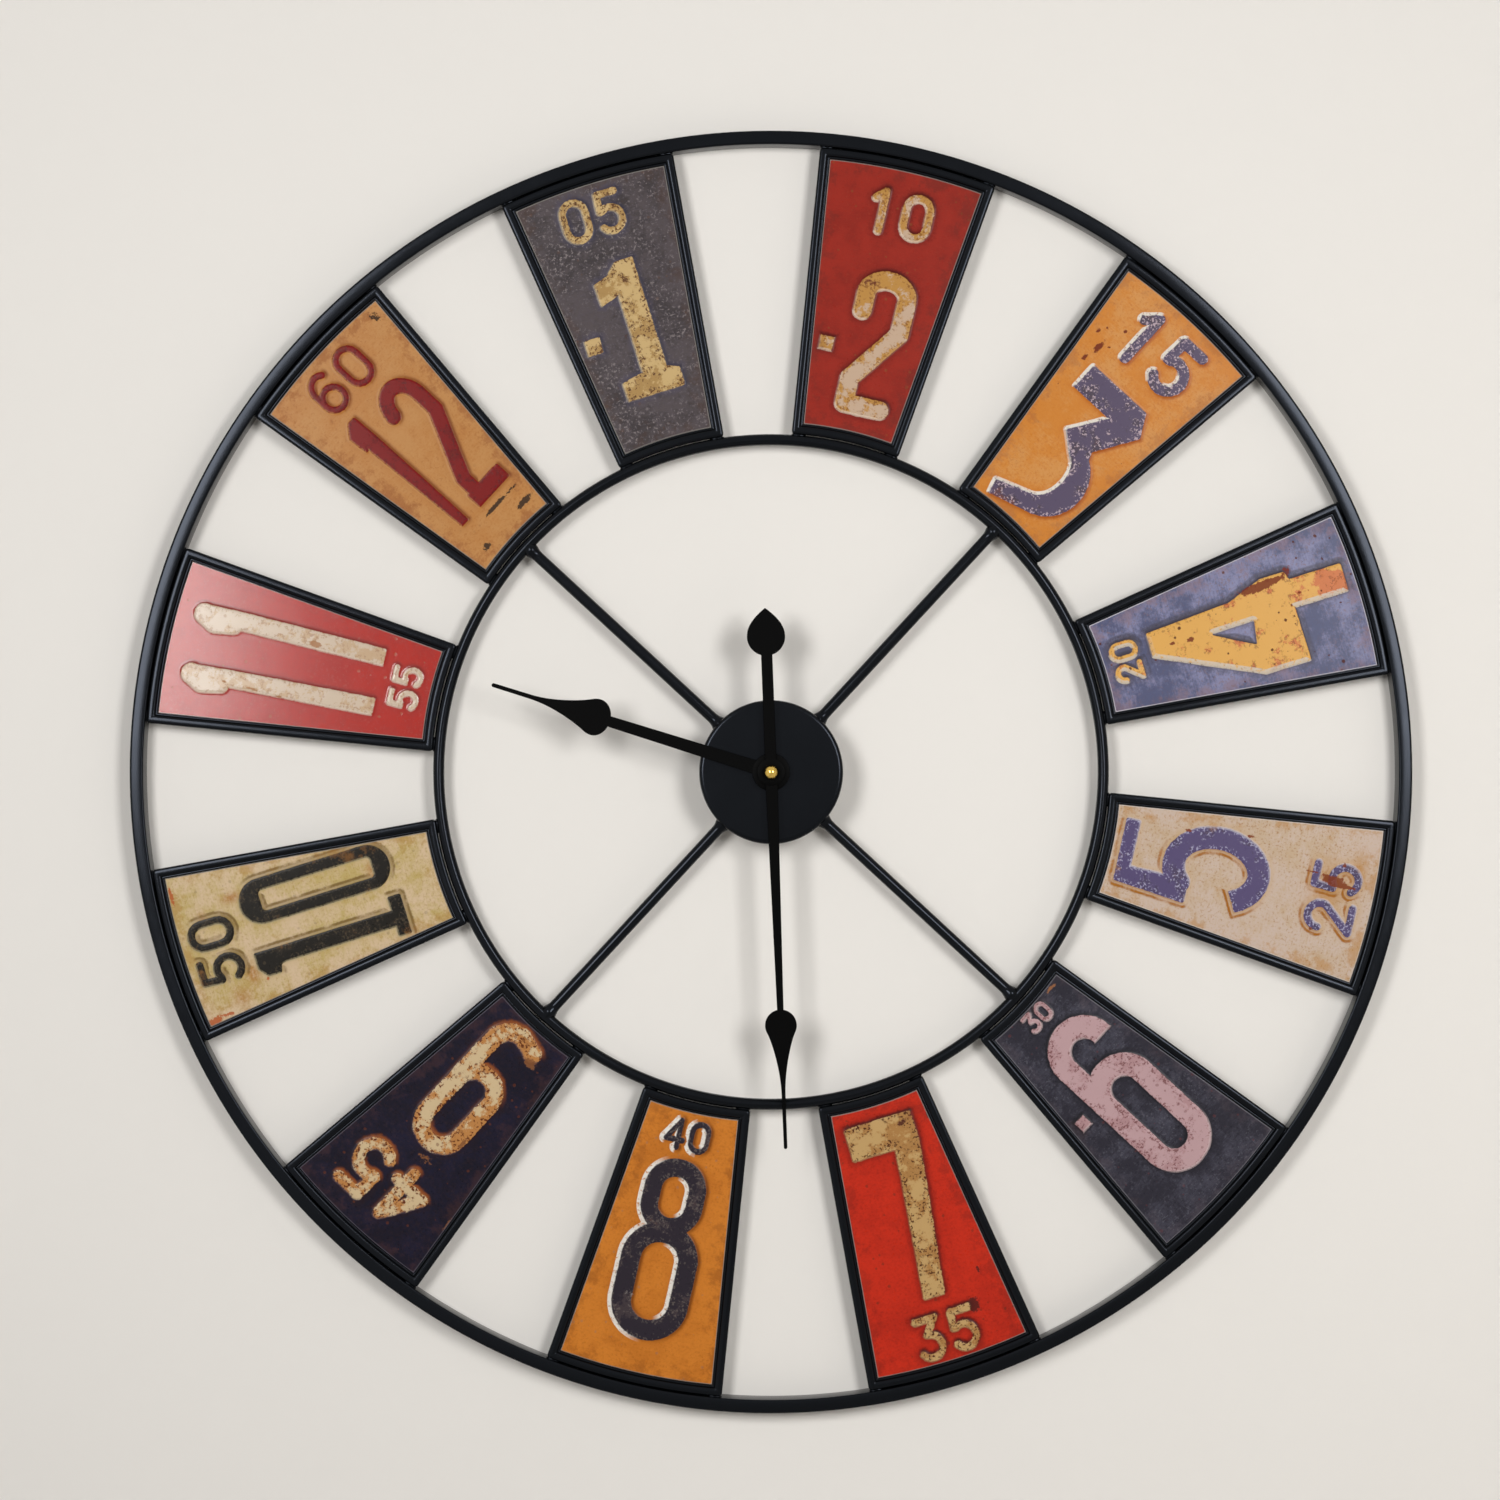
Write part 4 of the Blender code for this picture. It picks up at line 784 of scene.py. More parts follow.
def eleven_plain(x, y):
    left = block(x, y, [(-14.6, 52), (-22.6, 52), (-19.4, -60), (-10.6, -60), (-13.4, 30)])
    right = block(x, y, [(23.6, 52), (14.6, 52), (12.4, -60), (20.8, -60), (23.4, 30)])
    left_head = stroke(x, y, [(-19.5, 54.5), (-23.5, 47), (-21.5, 36)], 6.6)
    right_head = stroke(x, y, [(18.5, 54.5), (14.4, 47), (16, 36)], 6.6)
    return np.minimum.reduce([left, right, left_head, right_head])


def twelve_round(x, y):
    one = [(-16.6, 47), (-21, 47), (-26.8, 40), (-25.6, 28), (-23.6, 29)]
    one += [(-18.9, -47), (-14.8, -47), (-15.6, 30)]
    two = [(1, 30), *bow((12, 28), 10.8, 15, 170, 0), (22.6, 14), (2.5, -28), (2.5, -41.5), (19, -41.5)]
    base = block(x, y, [(-2.6, -47), (-2.6, -38), (22.8, -38), (22.8, -47)])
    return np.minimum.reduce([block(x, y, one), stroke(x, y, two, 5.0), base])


OUTWARD, INWARD = 1, -1                # where the head of the figure points
# Drawing, direction and the figure's own middle in the plate's millimetres
FIGURES = {
    1: (one_slab, OUTWARD, -3.4, 290.0), 2: (two_round, OUTWARD, 5.0, 275.0),
    3: (three_flat, OUTWARD, -1.9, 272.0), 4: (four_closed, INWARD, 0.0, 313.5),
    5: (five_round, INWARD, -0.9, 270.5), 6: (six_round, INWARD, -7.5, 300.0),
    7: (seven_block, INWARD, -5.0, 285.0), 8: (eight_round, INWARD, 0.0, 304.0),
    9: (nine_round, OUTWARD, -2.7, 270.0), 10: (ten_slim, OUTWARD, 1.5, 293.0),
    11: (eleven_plain, OUTWARD, 0.0, 312.0), 12: (twelve_round, OUTWARD, 1.5, 293.5),
}
print(len(FIGURES), "hour figures")

# %% [markdown]
# ## The minute figures
# A dial has room for the minutes too: 05 to 60 in small round-ended strokes, at the free end of each plate.
# One set of seven digits is enough, drawn in a box one unit high.

# %% Minute figures
DIGITS = {
    "0": [*bow((0.3, 0.7), 0.3, 0.3, 0, 180, 9), *bow((0.3, 0.3), 0.3, 0.3, 180, 360, 9), (0.6, 0.7)],
    "1": [(0.12, 0.80), (0.34, 1.0), (0.34, 0.0)],
    "2": [(0.02, 0.72), *bow((0.3, 0.72), 0.28, 0.28, 170, -20, 10), (0.02, 0.0), (0.6, 0.0)],
    "3": [(0.04, 1.0), (0.56, 1.0), (0.26, 0.60), *bow((0.28, 0.29), 0.3, 0.3, 85, -150, 12)],
    "4": [(0.45, 0.0), (0.45, 1.0), (0.0, 0.28), (0.62, 0.28)],
    "5": [(0.55, 1.0), (0.08, 1.0), (0.05, 0.56), *bow((0.28, 0.31), 0.3, 0.31, 125, -145, 14)],
    "6": [(0.52, 0.92), *bow((0.32, 0.66), 0.31, 0.34, 70, 180, 8), (0.01, 0.3),
          *bow((0.3, 0.3), 0.29, 0.3, 180, 540, 18)],
}
DIGIT_PITCH = 0.92


def minutes(x, y, text, centre, height, half):
    """Distance to two digits side by side about a centre."""
    left = centre[0] - (0.3 + DIGIT_PITCH / 2) * height
    low = centre[1] - height / 2
    fields = []
    for place, digit in enumerate(text):
        moved = [
            (left + (place * DIGIT_PITCH + px) * height, low + py * height) for px, py in DIGITS[digit]
        ]
        fields.append(stroke(x, y, moved, half))
    return np.minimum.reduce(fields)


# Centre from the figure's own middle, height and half stroke, in millimetres
MINUTES = {
    1: ((0, 74), 24, 2.3), 2: ((-4, 82), 25, 2.5), 3: ((2, 84), 32, 3.6), 4: ((0, 81), 15, 1.7),
    5: ((0, -89), 27, 2.4), 6: ((-7, 74), 11, 1.3), 7: ((-4, -82), 24, 2.2), 8: ((-1, 71), 17, 1.9),
    9: ((6, 82), 33, 3.8), 10: ((-6, 71), 25, 2.5), 11: ((1, -78), 16, 1.7), 12: ((-4, 70), 25, 2.2),
}
SQUARES = {1: ((-23.5, -4), 5.0), 2: ((-30.5, -6), 4.4), 6: ((-36.4, 8), 3.9)}


def figure_field(hour, x, y):
    """Distance to everything drawn on one plate, from the plate's own across and outward millimetres."""
    draw, way, middle_x, middle_y = FIGURES[hour]
    x, y = way * (x - middle_x), way * (y - middle_y)
    field = np.minimum(draw(x, y), minutes(x, y, f"{5 * hour:02d}", *MINUTES[hour]))
    if hour in SQUARES:
        field = np.minimum(field, dot(x, y, *SQUARES[hour]))
    return field


print("minutes", [f"{5 * hour:02d}" for hour in MINUTES])

# %% [markdown]
# ## Aged enamel print
# The plates look like old enamelled road plates: patchy ground, figures with chipped and stained paint,
# light along one side of each line and shade along the other, rust that starts at the border, and specks.
# One node group makes all twelve.  It reads values stored on the mesh: the distance to the figures, the
# distance to the plate's border, how far an edge faces the printed light, where rust has eaten through and
# where the print is stained.

# %% Aged print
print_group, given, made = new_group(
    "aged enamel print",
    {"Ground": "A92A24", "Ground Patch": "7A201C", "Ground Fleck": "9C9488", "Figure": "E0D2B8",
     "Figure Patch": "B98A4A", "Figure Speck": "5A3220", "Rust": "7A4420", "Blotch": "5A2018",
     "Halo": "5A1512", "Lit Edge": "F2EAD8", "Shaded Edge": "3A2018", "Cut Edge": "8C8882"},
    {"Patches": 0.6, "Flecks": 0.3, "Figure Wear": 0.7, "Specks": 0.6, "Spatter": 0.5, "Border Rust": 0.4,
     "Halo Amount": 0.5, "Lit": 0.6, "Lit Width": 0.5, "Lit Reach": 0.5, "Shaded": 0.6, "Shade Reach": 2.9,
     "Chipping": 1.2, "Edge Stain": 0.0, "Satin": 0.22, "Foot": 0.0, "Foot Reach": 3.0, "Ground Stain": 0.0,
     "Wear Start": 0.52},
)
MARKS = ("figure", "border", "facing", "blotch", "tinge")
spot = stored(print_group, "plate", 1)          # millimetres across and outwards
figure, border, facing, blotch, tinge = (stored(print_group, title) for title in MARKS)
cloud = clouds(spot, 0.030, 5.0, 0.6)
stain = clouds(spot, 0.085, 7.0, 0.68)
grit = clouds(spot, 0.45, 5.0, 0.7)
pepper = clouds(spot, 0.62, 3.0, 0.6)
streaks = place_node(print_group, "Mapping", {"Vector": spot, "Scale": (0.10, 1.1, 1.0)})
brushed = clouds(streaks, 1.0, 4.0, 0.6)
uneven = grit + stain - 1.0
edge = figure + uneven * given("Chipping")
painted = soft_step(edge, 0.25, -0.25)
print("values stored on the mesh:", MARKS)

# %% [markdown]
# The ground is mottled at several sizes at once and darkens round each figure in a halo of painted shade
# with grime in it.  Spatter is a field of cells: each cell has a dot at its middle, and the cell's own random
# number gives the dot's size, which is nothing for most cells.

# %% Ground and figure colours
mottle = cloud * 0.35 + stain * 0.35 + (grit * 0.18 + brushed * 0.12)
ground = tint(soft_step(mottle, 0.44, 0.58) * given("Patches"), given("Ground"), given("Ground Patch"))
flecked = soft_step(pepper, 0.54, 0.68) * soft_step(cloud, 0.30, 0.60)
ground = tint(flecked * given("Flecks"), ground, given("Ground Fleck"))
# Painted shade with grime: the ground darkens in an uneven halo round each figure, and the fine grain takes
# the same colour
smeared_shade_and_grime = soft_step(figure + uneven * 9.0, 5.5, 0.0) * 0.75
halo_shade_and_grime = smeared_shade_and_grime.larger(soft_step(edge, 2.4, 0.4))
grain = soft_step(pepper, 0.38, 0.66) * 0.14
ground = tint((halo_shade_and_grime * given("Halo Amount")).larger(grain), ground, given("Halo"))
soaked = tinge * given("Ground Stain") * soft_step(uneven, -0.35, 0.15)
ground = tint(soaked, ground, given("Rust"))
frayed = stain + (grit - 0.5) * 0.25 + soft_step(edge, -4.5, -0.2) * given("Edge Stain")
aged = soft_step(frayed + tinge * 0.22, given("Wear Start"), given("Wear Start") + 0.08)
worn = tint(aged * given("Figure Wear"), given("Figure"), given("Figure Patch"))
crowded = stain + soft_step(edge, -5.0, -0.3) * 0.16
speck = soft_step(pepper, 0.545, 0.575) * soft_step(crowded, 0.50, 0.60)
worn = tint(speck * given("Specks"), worn, given("Figure Speck"))
colour = tint(painted, ground, worn)
CELLS = 0.20                                    # cells per millimetre
cells = {"Vector": spot, "Scale": CELLS}
off_dot = place_node(print_group, "TexVoronoi", cells)
own_colour = place_node(print_group, "TexVoronoi", cells, output=1)
dot_size = (place_node(print_group, "SeparateColor", {0: own_colour}) - 0.55) * 0.5
spatter = soft_step(off_dot - dot_size + (grit - 0.5) * 0.35, 0.03, -0.04) * given("Spatter")
colour = tint(spatter, colour, given("Figure Speck"))
print("ground, figure and spatter")

# %% [markdown]
# Along the lines of a figure lie painted light and shade: a shade on the side away from the printed light, a
# thin dark line of painted shade at the foot of the relief a little way out on that side, and a broken bright
# edge towards the light.  Rust at the border, eaten spots and the pale cut edge with its painted highlight
# come last.  Whatever has decayed is rougher and lower than sound paint.

# %% Edges, rust and gloss
outside = soft_step(edge, given("Shade Reach"), 0.5) * soft_step(edge, -0.4, 0.3)
away = (facing * -1.0).larger(0.0)
colour = tint(outside * away * given("Shaded"), colour, given("Shaded Edge"))
# Painted shade: a thin line at the foot of the relief, a little way out on the side away from the printed
# light
foot_shade_place = given("Foot Reach") + uneven * 1.2
foot_shade_line = soft_step(figure, foot_shade_place - 1.8, foot_shade_place - 0.6)
foot_shade_line = foot_shade_line * soft_step(figure, foot_shade_place + 1.1, foot_shade_place)
foot_shade_line = foot_shade_line * soft_step(facing, 0.1, -0.6) * soft_step(stain, 0.30, 0.56)
colour = tint(foot_shade_line * given("Foot"), colour, given("Shaded Edge"))
lit_start = given("Lit Width") * -1.0
lit_band = soft_step(edge, lit_start - 0.7, lit_start)
lit_band = lit_band * soft_step(edge, given("Lit Reach") + 0.5, given("Lit Reach"))
lit_edge = lit_band * soft_step(grit, 0.32, 0.50) * soft_step(facing, 0.15, 0.75)
colour = tint(lit_edge * given("Lit"), colour, given("Lit Edge"))
rusting = stain + soft_step(border, 15.0, 0.0) * 0.20 + grit * 0.25
rusted = soft_step(rusting, 0.74, 0.90) * given("Border Rust")
colour = tint(rusted, colour, given("Rust"))
eaten = soft_step(blotch + uneven * 1.3, 0.36, 0.54)
colour = tint(eaten * 0.9, colour, given("Blotch"))
# Pale cut edge with a painted highlight: a thin light band all round the plate's border
colour = tint(soft_step(border, 0.75, 0.45) * 0.8, colour, given("Cut Edge"))
colour.feed(made["Color"])
decay = rusted.larger(eaten).larger(spatter)
(decay * 0.25 + grit * 0.14 + given("Satin")).feed(made["Roughness"])
(grit * 0.4 - (decay + speck * painted)).feed(made["Height"])
print("print group with", len(print_group.nodes), "nodes")

# %% Colours of the twelve prints
PRINTS = {
    1: {"Ground": "504849", "Ground Patch": "342F2F", "Ground Fleck": "8C827E", "Figure": "BFA270",
        "Figure Patch": "94703C", "Figure Speck": "5A3A24", "Rust": "5B3C26", "Halo": "45425A",
        "Lit Edge": "C8B894", "Shaded Edge": "2F2C36", "Edge Stain": 0.06, "Patches": 0.8, "Flecks": 0.8,
        "Specks": 0.95, "Spatter": 0.3, "Border Rust": 0.2, "Lit": 0.3, "Shaded": 0.7},
    2: {"Ground": "93281C", "Ground Patch": "7C1F16", "Ground Fleck": "A84430", "Figure": "BBA088",
        "Figure Patch": "B0803C", "Figure Speck": "7A4A20", "Rust": "541C12", "Halo": "621610",
        "Lit Edge": "D8C4B0", "Shaded Edge": "4A100C", "Flecks": 0.25, "Figure Wear": 0.95, "Specks": 0.7,
        "Spatter": 0.4, "Border Rust": 0.3, "Halo Amount": 0.8, "Shaded": 0.9, "Chipping": 1.6,
        "Edge Stain": 0.1},
    3: {"Ground": "C27A2E", "Ground Patch": "C89458", "Ground Fleck": "A85A22", "Figure": "53485E",
        "Figure Patch": "463C42", "Figure Speck": "B09CA4", "Rust": "8A4018", "Blotch": "621C12",
        "Halo": "B4641E", "Lit Edge": "DCD4C8", "Shaded Edge": "984A14", "Flecks": 0.35, "Specks": 0.9,
        "Spatter": 0.0, "Border Rust": 0.35, "Lit": 1.0, "Lit Width": 0.6, "Lit Reach": 0.9, "Shaded": 0.9,
        "Chipping": 1.0},
    4: {"Ground": "4E5270", "Ground Patch": "8484A4", "Ground Fleck": "86604E", "Figure": "D29E50",
        "Figure Patch": "BE643C", "Figure Speck": "4E2418", "Rust": "7A5448", "Blotch": "6E2A1C",
        "Halo": "4C444E", "Lit Edge": "C4B8A8", "Shaded Edge": "35303A", "Patches": 0.9, "Flecks": 0.4,
        "Specks": 0.45, "Spatter": 0.9, "Figure Wear": 0.85, "Halo Amount": 0.75, "Lit": 0.9,
        "Lit Width": 2.2, "Shaded": 0.9, "Shade Reach": 4.4, "Chipping": 0.7, "Cut Edge": "D2CED4",
        "Foot": 0.5, "Foot Reach": 3.6, "Wear Start": 0.57},
    5: {"Ground": "BEAA9C", "Ground Patch": "B49A78", "Ground Fleck": "8E5E2C", "Figure": "51466A",
        "Figure Patch": "453B50", "Figure Speck": "A6A2BC", "Rust": "AA7228", "Blotch": "74300F",
        "Halo": "B89462", "Lit Edge": "B4B0BE", "Shaded Edge": "94590F", "Patches": 0.7, "Flecks": 0.75,
        "Specks": 0.75, "Spatter": 0.0, "Border Rust": 0.45, "Lit": 0.5, "Shaded": 0.4, "Shade Reach": 1.4,
        "Chipping": 0.8, "Foot": 1.0, "Foot Reach": 2.7, "Ground Stain": 0.9, "Cut Edge": "D4CAC0"},
    6: {"Ground": "2A2831", "Ground Patch": "4D4C58", "Ground Fleck": "66646E", "Figure": "B29294",
        "Figure Patch": "A07A7C", "Figure Speck": "5E2A2A", "Rust": "4E3834", "Blotch": "8C5C3C",
        "Halo": "1E1C22", "Lit Edge": "C4B0B0", "Shaded Edge": "17151A", "Flecks": 0.5, "Specks": 0.7,
        "Spatter": 0.4, "Border Rust": 0.15, "Halo Amount": 0.8, "Lit": 0.5, "Shaded": 0.9,
        "Edge Stain": 0.05, "Cut Edge": "7A787E"},
    7: {"Ground": "BE2D1A", "Ground Patch": "A42517", "Ground Fleck": "7E1A10", "Figure": "B79562",
        "Figure Patch": "986632", "Figure Speck": "4A2614", "Rust": "6A1A10", "Blotch": "441610",
        "Halo": "701810", "Lit Edge": "C8B07C", "Shaded Edge": "340C08", "Specks": 1.0, "Spatter": 0.5,
        "Border Rust": 0.3, "Halo Amount": 0.85, "Lit": 0.3, "Shaded": 0.9, "Chipping": 1.8,
        "Edge Stain": 0.06},
    8: {"Ground": "C5772B", "Ground Patch": "AE6420", "Ground Fleck": "8C4A14", "Figure": "29232B",
        "Figure Patch": "443A3C", "Figure Speck": "726860", "Rust": "7A4214", "Blotch": "8C8480",
        "Halo": "9A5618", "Lit Edge": "DCD6CC", "Shaded Edge": "6E380E", "Flecks": 0.35, "Specks": 0.4,
        "Spatter": 0.3, "Border Rust": 0.35, "Lit": 1.0, "Lit Width": 0.2, "Lit Reach": 1.7, "Shaded": 0.9,
        "Chipping": 0.8},
    9: {"Ground": "100E1D", "Ground Patch": "1B1930", "Ground Fleck": "3A2E32", "Figure": "C4AC86",
        "Figure Patch": "AE7236", "Figure Speck": "5E2C12", "Rust": "54301C", "Blotch": "7A4C2C",
        "Halo": "341C14", "Lit Edge": "5A4E58", "Shaded Edge": "8A481C", "Flecks": 0.2, "Figure Wear": 0.9,
        "Specks": 1.0, "Spatter": 0.5, "Border Rust": 0.2, "Lit": 0.4, "Shaded": 0.9, "Chipping": 2.6,
        "Edge Stain": 0.08, "Halo Amount": 0.35, "Cut Edge": "5E5A64"},
    10: {"Ground": "C8AF8F", "Ground Patch": "B09A5A", "Ground Fleck": "98742E", "Figure": "15110B",
        "Figure Patch": "2A231A", "Figure Speck": "5C4E3A", "Rust": "9E6628", "Blotch": "A8542A",
        "Halo": "A08A54", "Lit Edge": "A89C7C", "Shaded Edge": "6E5426", "Patches": 0.9, "Flecks": 0.5,
        "Specks": 0.35, "Spatter": 0.25, "Border Rust": 0.35, "Halo Amount": 0.3, "Lit": 0.5, "Shaded": 0.7,
        "Chipping": 0.6, "Foot": 0.9, "Foot Reach": 2.6, "Ground Stain": 0.95},
    11: {"Ground": "A81C0C", "Ground Patch": "98160A", "Ground Fleck": "B8584E", "Figure": "C2AE98",
        "Figure Patch": "B4926A", "Figure Speck": "8A5630", "Rust": "6A2018", "Blotch": "94602E",
        "Halo": "86241E", "Lit Edge": "DACABA", "Shaded Edge": "6A1610", "Flecks": 0.25, "Specks": 0.45,
        "Spatter": 0.35, "Border Rust": 0.05, "Lit": 0.5, "Shaded": 0.7, "Satin": 0.08},
    12: {"Ground": "B4814B", "Ground Patch": "AA6E34", "Ground Fleck": "945628", "Figure": "741210",
        "Figure Patch": "600E0E", "Figure Speck": "481616", "Rust": "7A3C1C", "Blotch": "1C1714",
        "Halo": "A4682E", "Lit Edge": "C4945E", "Shaded Edge": "6A3218", "Flecks": 0.4, "Specks": 0.6,
        "Spatter": 0.1, "Border Rust": 0.4, "Lit": 0.4, "Shaded": 0.8, "Chipping": 0.8},
}
PRINT_SHINE = 0.11
VARNISHED = {11: 0.36}                          # one print has a fresher varnish
prints = {
    hour: new_finish(
        f"aged print {hour:02d}", f"plate_print_{hour:02d}", print_group, values, bump=0.2,
        bump_distance=0.0003, Specular_IOR_Level=VARNISHED.get(hour, PRINT_SHINE),
    )
    for hour, values in PRINTS.items()
}
print(len(prints), "prints")

# %% [markdown]
# ## The number plates
# A plate is a thin board that lies in its tray.  Its face is a height field: a grid over the wedge whose
# points rise by half a millimetre inside the figures.  Modelling each figure as its own solid would leave
# sharp steps; a height field gives the soft shoulders of pressed sheet.

# %% Plate grid
plate_low, plate_high = depths("number_plate_12")
PLATE_SIDE_GAP = 0.0003
ACROSS, OUTWARDS = 121, 221
plate_inset = rim_width + PLATE_SIDE_GAP
SIDE_ROW, END_ROW = 0.992, 0.0024       # shares at which the outermost rows inside the edge lie
share = np.concatenate([[-1.0], np.linspace(-SIDE_ROW, SIDE_ROW, ACROSS - 2), [1.0]])
rise = np.concatenate([[0.0], np.linspace(END_ROW, 1 - END_ROW, OUTWARDS - 2), [1.0]])
radius = (foot_radius + plate_inset) * (1 - rise) + (head_radius - plate_inset) * rise
limit = side_crossing(np.full(OUTWARDS, plate_inset), radius)
turn = np.arctan2(limit[:, 0], limit[:, 1])[:, None] * share
plate_x = radius[:, None] * np.sin(turn)
plate_y = radius[:, None] * np.cos(turn)
to_side = np.stack([limit[:, 0:1] - np.abs(plate_x), limit[:, 1:2] - plate_y], -1) @ -inward
to_end = np.minimum(radius - radius[0], radius[-1] - radius)[:, None]
plate_border = np.minimum(to_side, to_end) * 1000
rim_loop = np.ones((OUTWARDS, ACROSS), bool)
rim_loop[1:-1, 1:-1] = False
number = np.arange(OUTWARDS * ACROSS).reshape(OUTWARDS, ACROSS)
edge_numbers = np.concatenate([number[0], number[1:, -1], number[-1, -2::-1], number[-2:0:-1, 0]])
print("plate grid of", OUTWARDS, "by", ACROSS, "points,", len(edge_numbers), "round its edge")

# %% Light and stains of the prints
# Where each print's light comes from, in degrees from the plate's right towards the rim
PRINT_LIGHT = {
    1: 200, 2: 250, 3: 165, 4: -20, 5: 150, 6: 100, 7: 60, 8: 10, 9: 100, 10: 130, 11: 170, 12: 160,
}
# Rust and smears: across, outwards, reach across and outwards in millimetres, and strength
BLOTCHES = {
    1: [(-10, 322, 4, 2, 0.4)],
    2: [(-6, 312, 9, 4, 0.45)],
    3: [(-30, 334, 2.2, 5, 1.0), (-32, 323, 2, 2.6, 0.9), (-37, 341, 1.6, 2, 0.8),
        (-24, 352, 1.3, 1.5, 0.8), (-34, 346, 1.2, 1.2, 0.7), (-25, 338, 0.9, 1.2, 0.7),
        (-33, 300, 1.0, 1.6, 0.7), (30, 290, 0.8, 1.2, 0.6)],
    4: [(-19.5, 322, 2.6, 13, 1.0), (-21.5, 334, 2.0, 9, 0.9), (-1.2, 275, 1.6, 2.9, 1.0),
        (-2.2, 263, 1.1, 1.9, 1.0), (-3, 341, 1.4, 1.0, 0.9), (-9, 352, 1.0, 9, 0.5), (-25, 344, 3, 3, 0.6)],
    5: [(-12, 357, 2.8, 8, 1.0), (-9, 366, 1.2, 11, 0.8), (-14, 343, 1.0, 6, 0.7), (-22, 362, 5, 2, 0.5),
        (-27, 301, 1.1, 3, 0.7), (-22, 262, 1.2, 3, 0.7), (21, 350, 2, 1.4, 0.6)],
    6: [(-20, 220, 5, 1.4, 0.8)],
    7: [(-22, 355, 4, 6, 0.9), (-31, 334, 1.4, 3, 0.6), (-31, 232, 2, 5, 0.9), (-12, 233, 3, 2, 0.6)],
    8: [(14, 335, 4, 9, 0.46)],
    9: [(-5, 324, 6, 3, 0.6), (-13, 236, 5, 3, 0.9), (-44, 345, 2, 5, 0.8), (-16, 300, 1.6, 8, 0.6)],
    10: [(-46, 378, 3, 5, 0.8), (-44, 367, 1.6, 6, 0.7), (38, 380.5, 8, 1.2, 0.8),
        (-30, 338, 1.8, 1.2, 0.8)],
    11: [(15, 294, 1.9, 4.5, 1.0), (-21, 328, 1.1, 7, 0.7), (-22, 310, 0.9, 2, 0.7), (-20, 345, 1, 2, 0.6)],
    12: [(7, 239, 13, 1.5, 0.95), (20, 228, 7, 2.6, 1.0), (-17, 226, 3, 2.6, 0.8), (41, 374, 3, 6, 0.55),
        (34, 255, 1, 3, 0.5)],
}
# Places where the print is stained, in the same order of numbers
TINGES = {
    1: [(-12, 318, 8, 7, 1.0), (-2, 252, 12, 5, 0.6)],
    2: [(3, 312, 16, 10, 1.0), (-9, 300, 5, 10, 0.8)],
    4: [(-10, 368, 9, 16, 1.3), (-17, 300, 3, 24, 0.6)],
    5: [(-6, 354, 17, 11, 0.8), (-20, 372, 14, 6, 0.6)],
    7: [(-14, 238, 12, 9, 0.8), (-8, 262, 5, 14, 0.6)],
    8: [(14, 345, 6, 12, 0.8)],
    9: [(-6, 240, 14, 8, 1.0), (-14, 292, 4, 20, 0.8)],
    10: [(-24, 346, 7, 4, 1.0), (25, 345, 3, 6, 0.9), (-36, 356, 6, 6, 0.7), (14.5, 256, 5, 4, 1.0),
        (18, 366, 4, 3, 0.7)],
    11: [(-20, 335, 4, 14, 0.8), (17, 262, 4, 16, 0.8)],
}


def soft_spots(places, x, y):
    """Sum of round hills, strength * exp(-(dx/rx)^2 - (dy/ry)^2), held at 1."""
    total = np.zeros_like(x)
    for px, py, rx, ry, strength in places:
        total += strength * np.exp(-(((x - px) / rx) ** 2) - ((y - py) / ry) ** 2)
    return np.minimum(total, 1.0)


print(sum(len(places) for places in BLOTCHES.values()), "spots of rust and smears")

# %% Number plates
PLATE_EDGE = 0.0004
RELIEF = 0.0005
SHOULDER = 0.9                          # millimetres from the line's edge to full height, each way
NUDGE = 0.4                             # millimetres either way, to find which way an edge faces
FAR_OFF = 50.0                          # the sides and the back are this far from any figure
PLATE_SEED = 170.0                      # keeps the twelve patterns apart


def add_plate(hour):
    """Plate face as depth = high + relief * smooth(figure), with its sides and back below it."""
    x, y = plate_x * 1000, plate_y * 1000
    field = figure_field(hour, x, y)
    t = np.clip((SHOULDER - field) / (2 * SHOULDER), 0.0, 1.0)
    depth = plate_high + RELIEF * t * t * (3 - 2 * t) - PLATE_EDGE * rim_loop
    light = np.radians(PRINT_LIGHT[hour])
    dx, dy = NUDGE * np.cos(light), NUDGE * np.sin(light)
    facing = (figure_field(hour, x + dx, y + dy) - figure_field(hour, x - dx, y - dy)) / (2 * NUDGE)
    face = on_dial(plate_x, plate_y, depth, HOUR_TURN * hour).reshape(-1, 3)
    around_x, around_y = plate_x.ravel()[edge_numbers], plate_y.ravel()[edge_numbers]
    back = on_dial(around_x, around_y, plate_low, HOUR_TURN * hour)
    below = np.arange(len(edge_numbers)) + len(face)
    walls = np.stack([edge_numbers, np.roll(edge_numbers, -1), np.roll(below, -1), below], 1).tolist()
    faces = grid_faces(OUTWARDS, ACROSS) + walls + [below.tolist()]
    blotch, tinge = (soft_spots(spots.get(hour, []), x, y) for spots in (BLOTCHES, TINGES))
    marks = {}
    for title, values in zip(MARKS, (field, plate_border, facing, blotch, tinge)):
        marks[title] = np.append(values, np.full(len(below), FAR_OFF if title == "figure" else 0.0))
    flat = np.stack([x, y, np.full_like(x, PLATE_SEED * hour)], axis=-1).reshape(-1, 3)
    marks["plate"] = np.concatenate([flat, flat[edge_numbers]])
    return add_piece(
        f"hour_plate_{hour:02d}", np.concatenate([face, back]), faces, prints[hour],
        stands_for=[f"number_plate_{hour:02d}"], marks=marks,
    )


plates = [add_plate(hour) for hour in range(1, 13)]
print(len(plates), "plates of", len(plates[0].data.polygons), "faces")

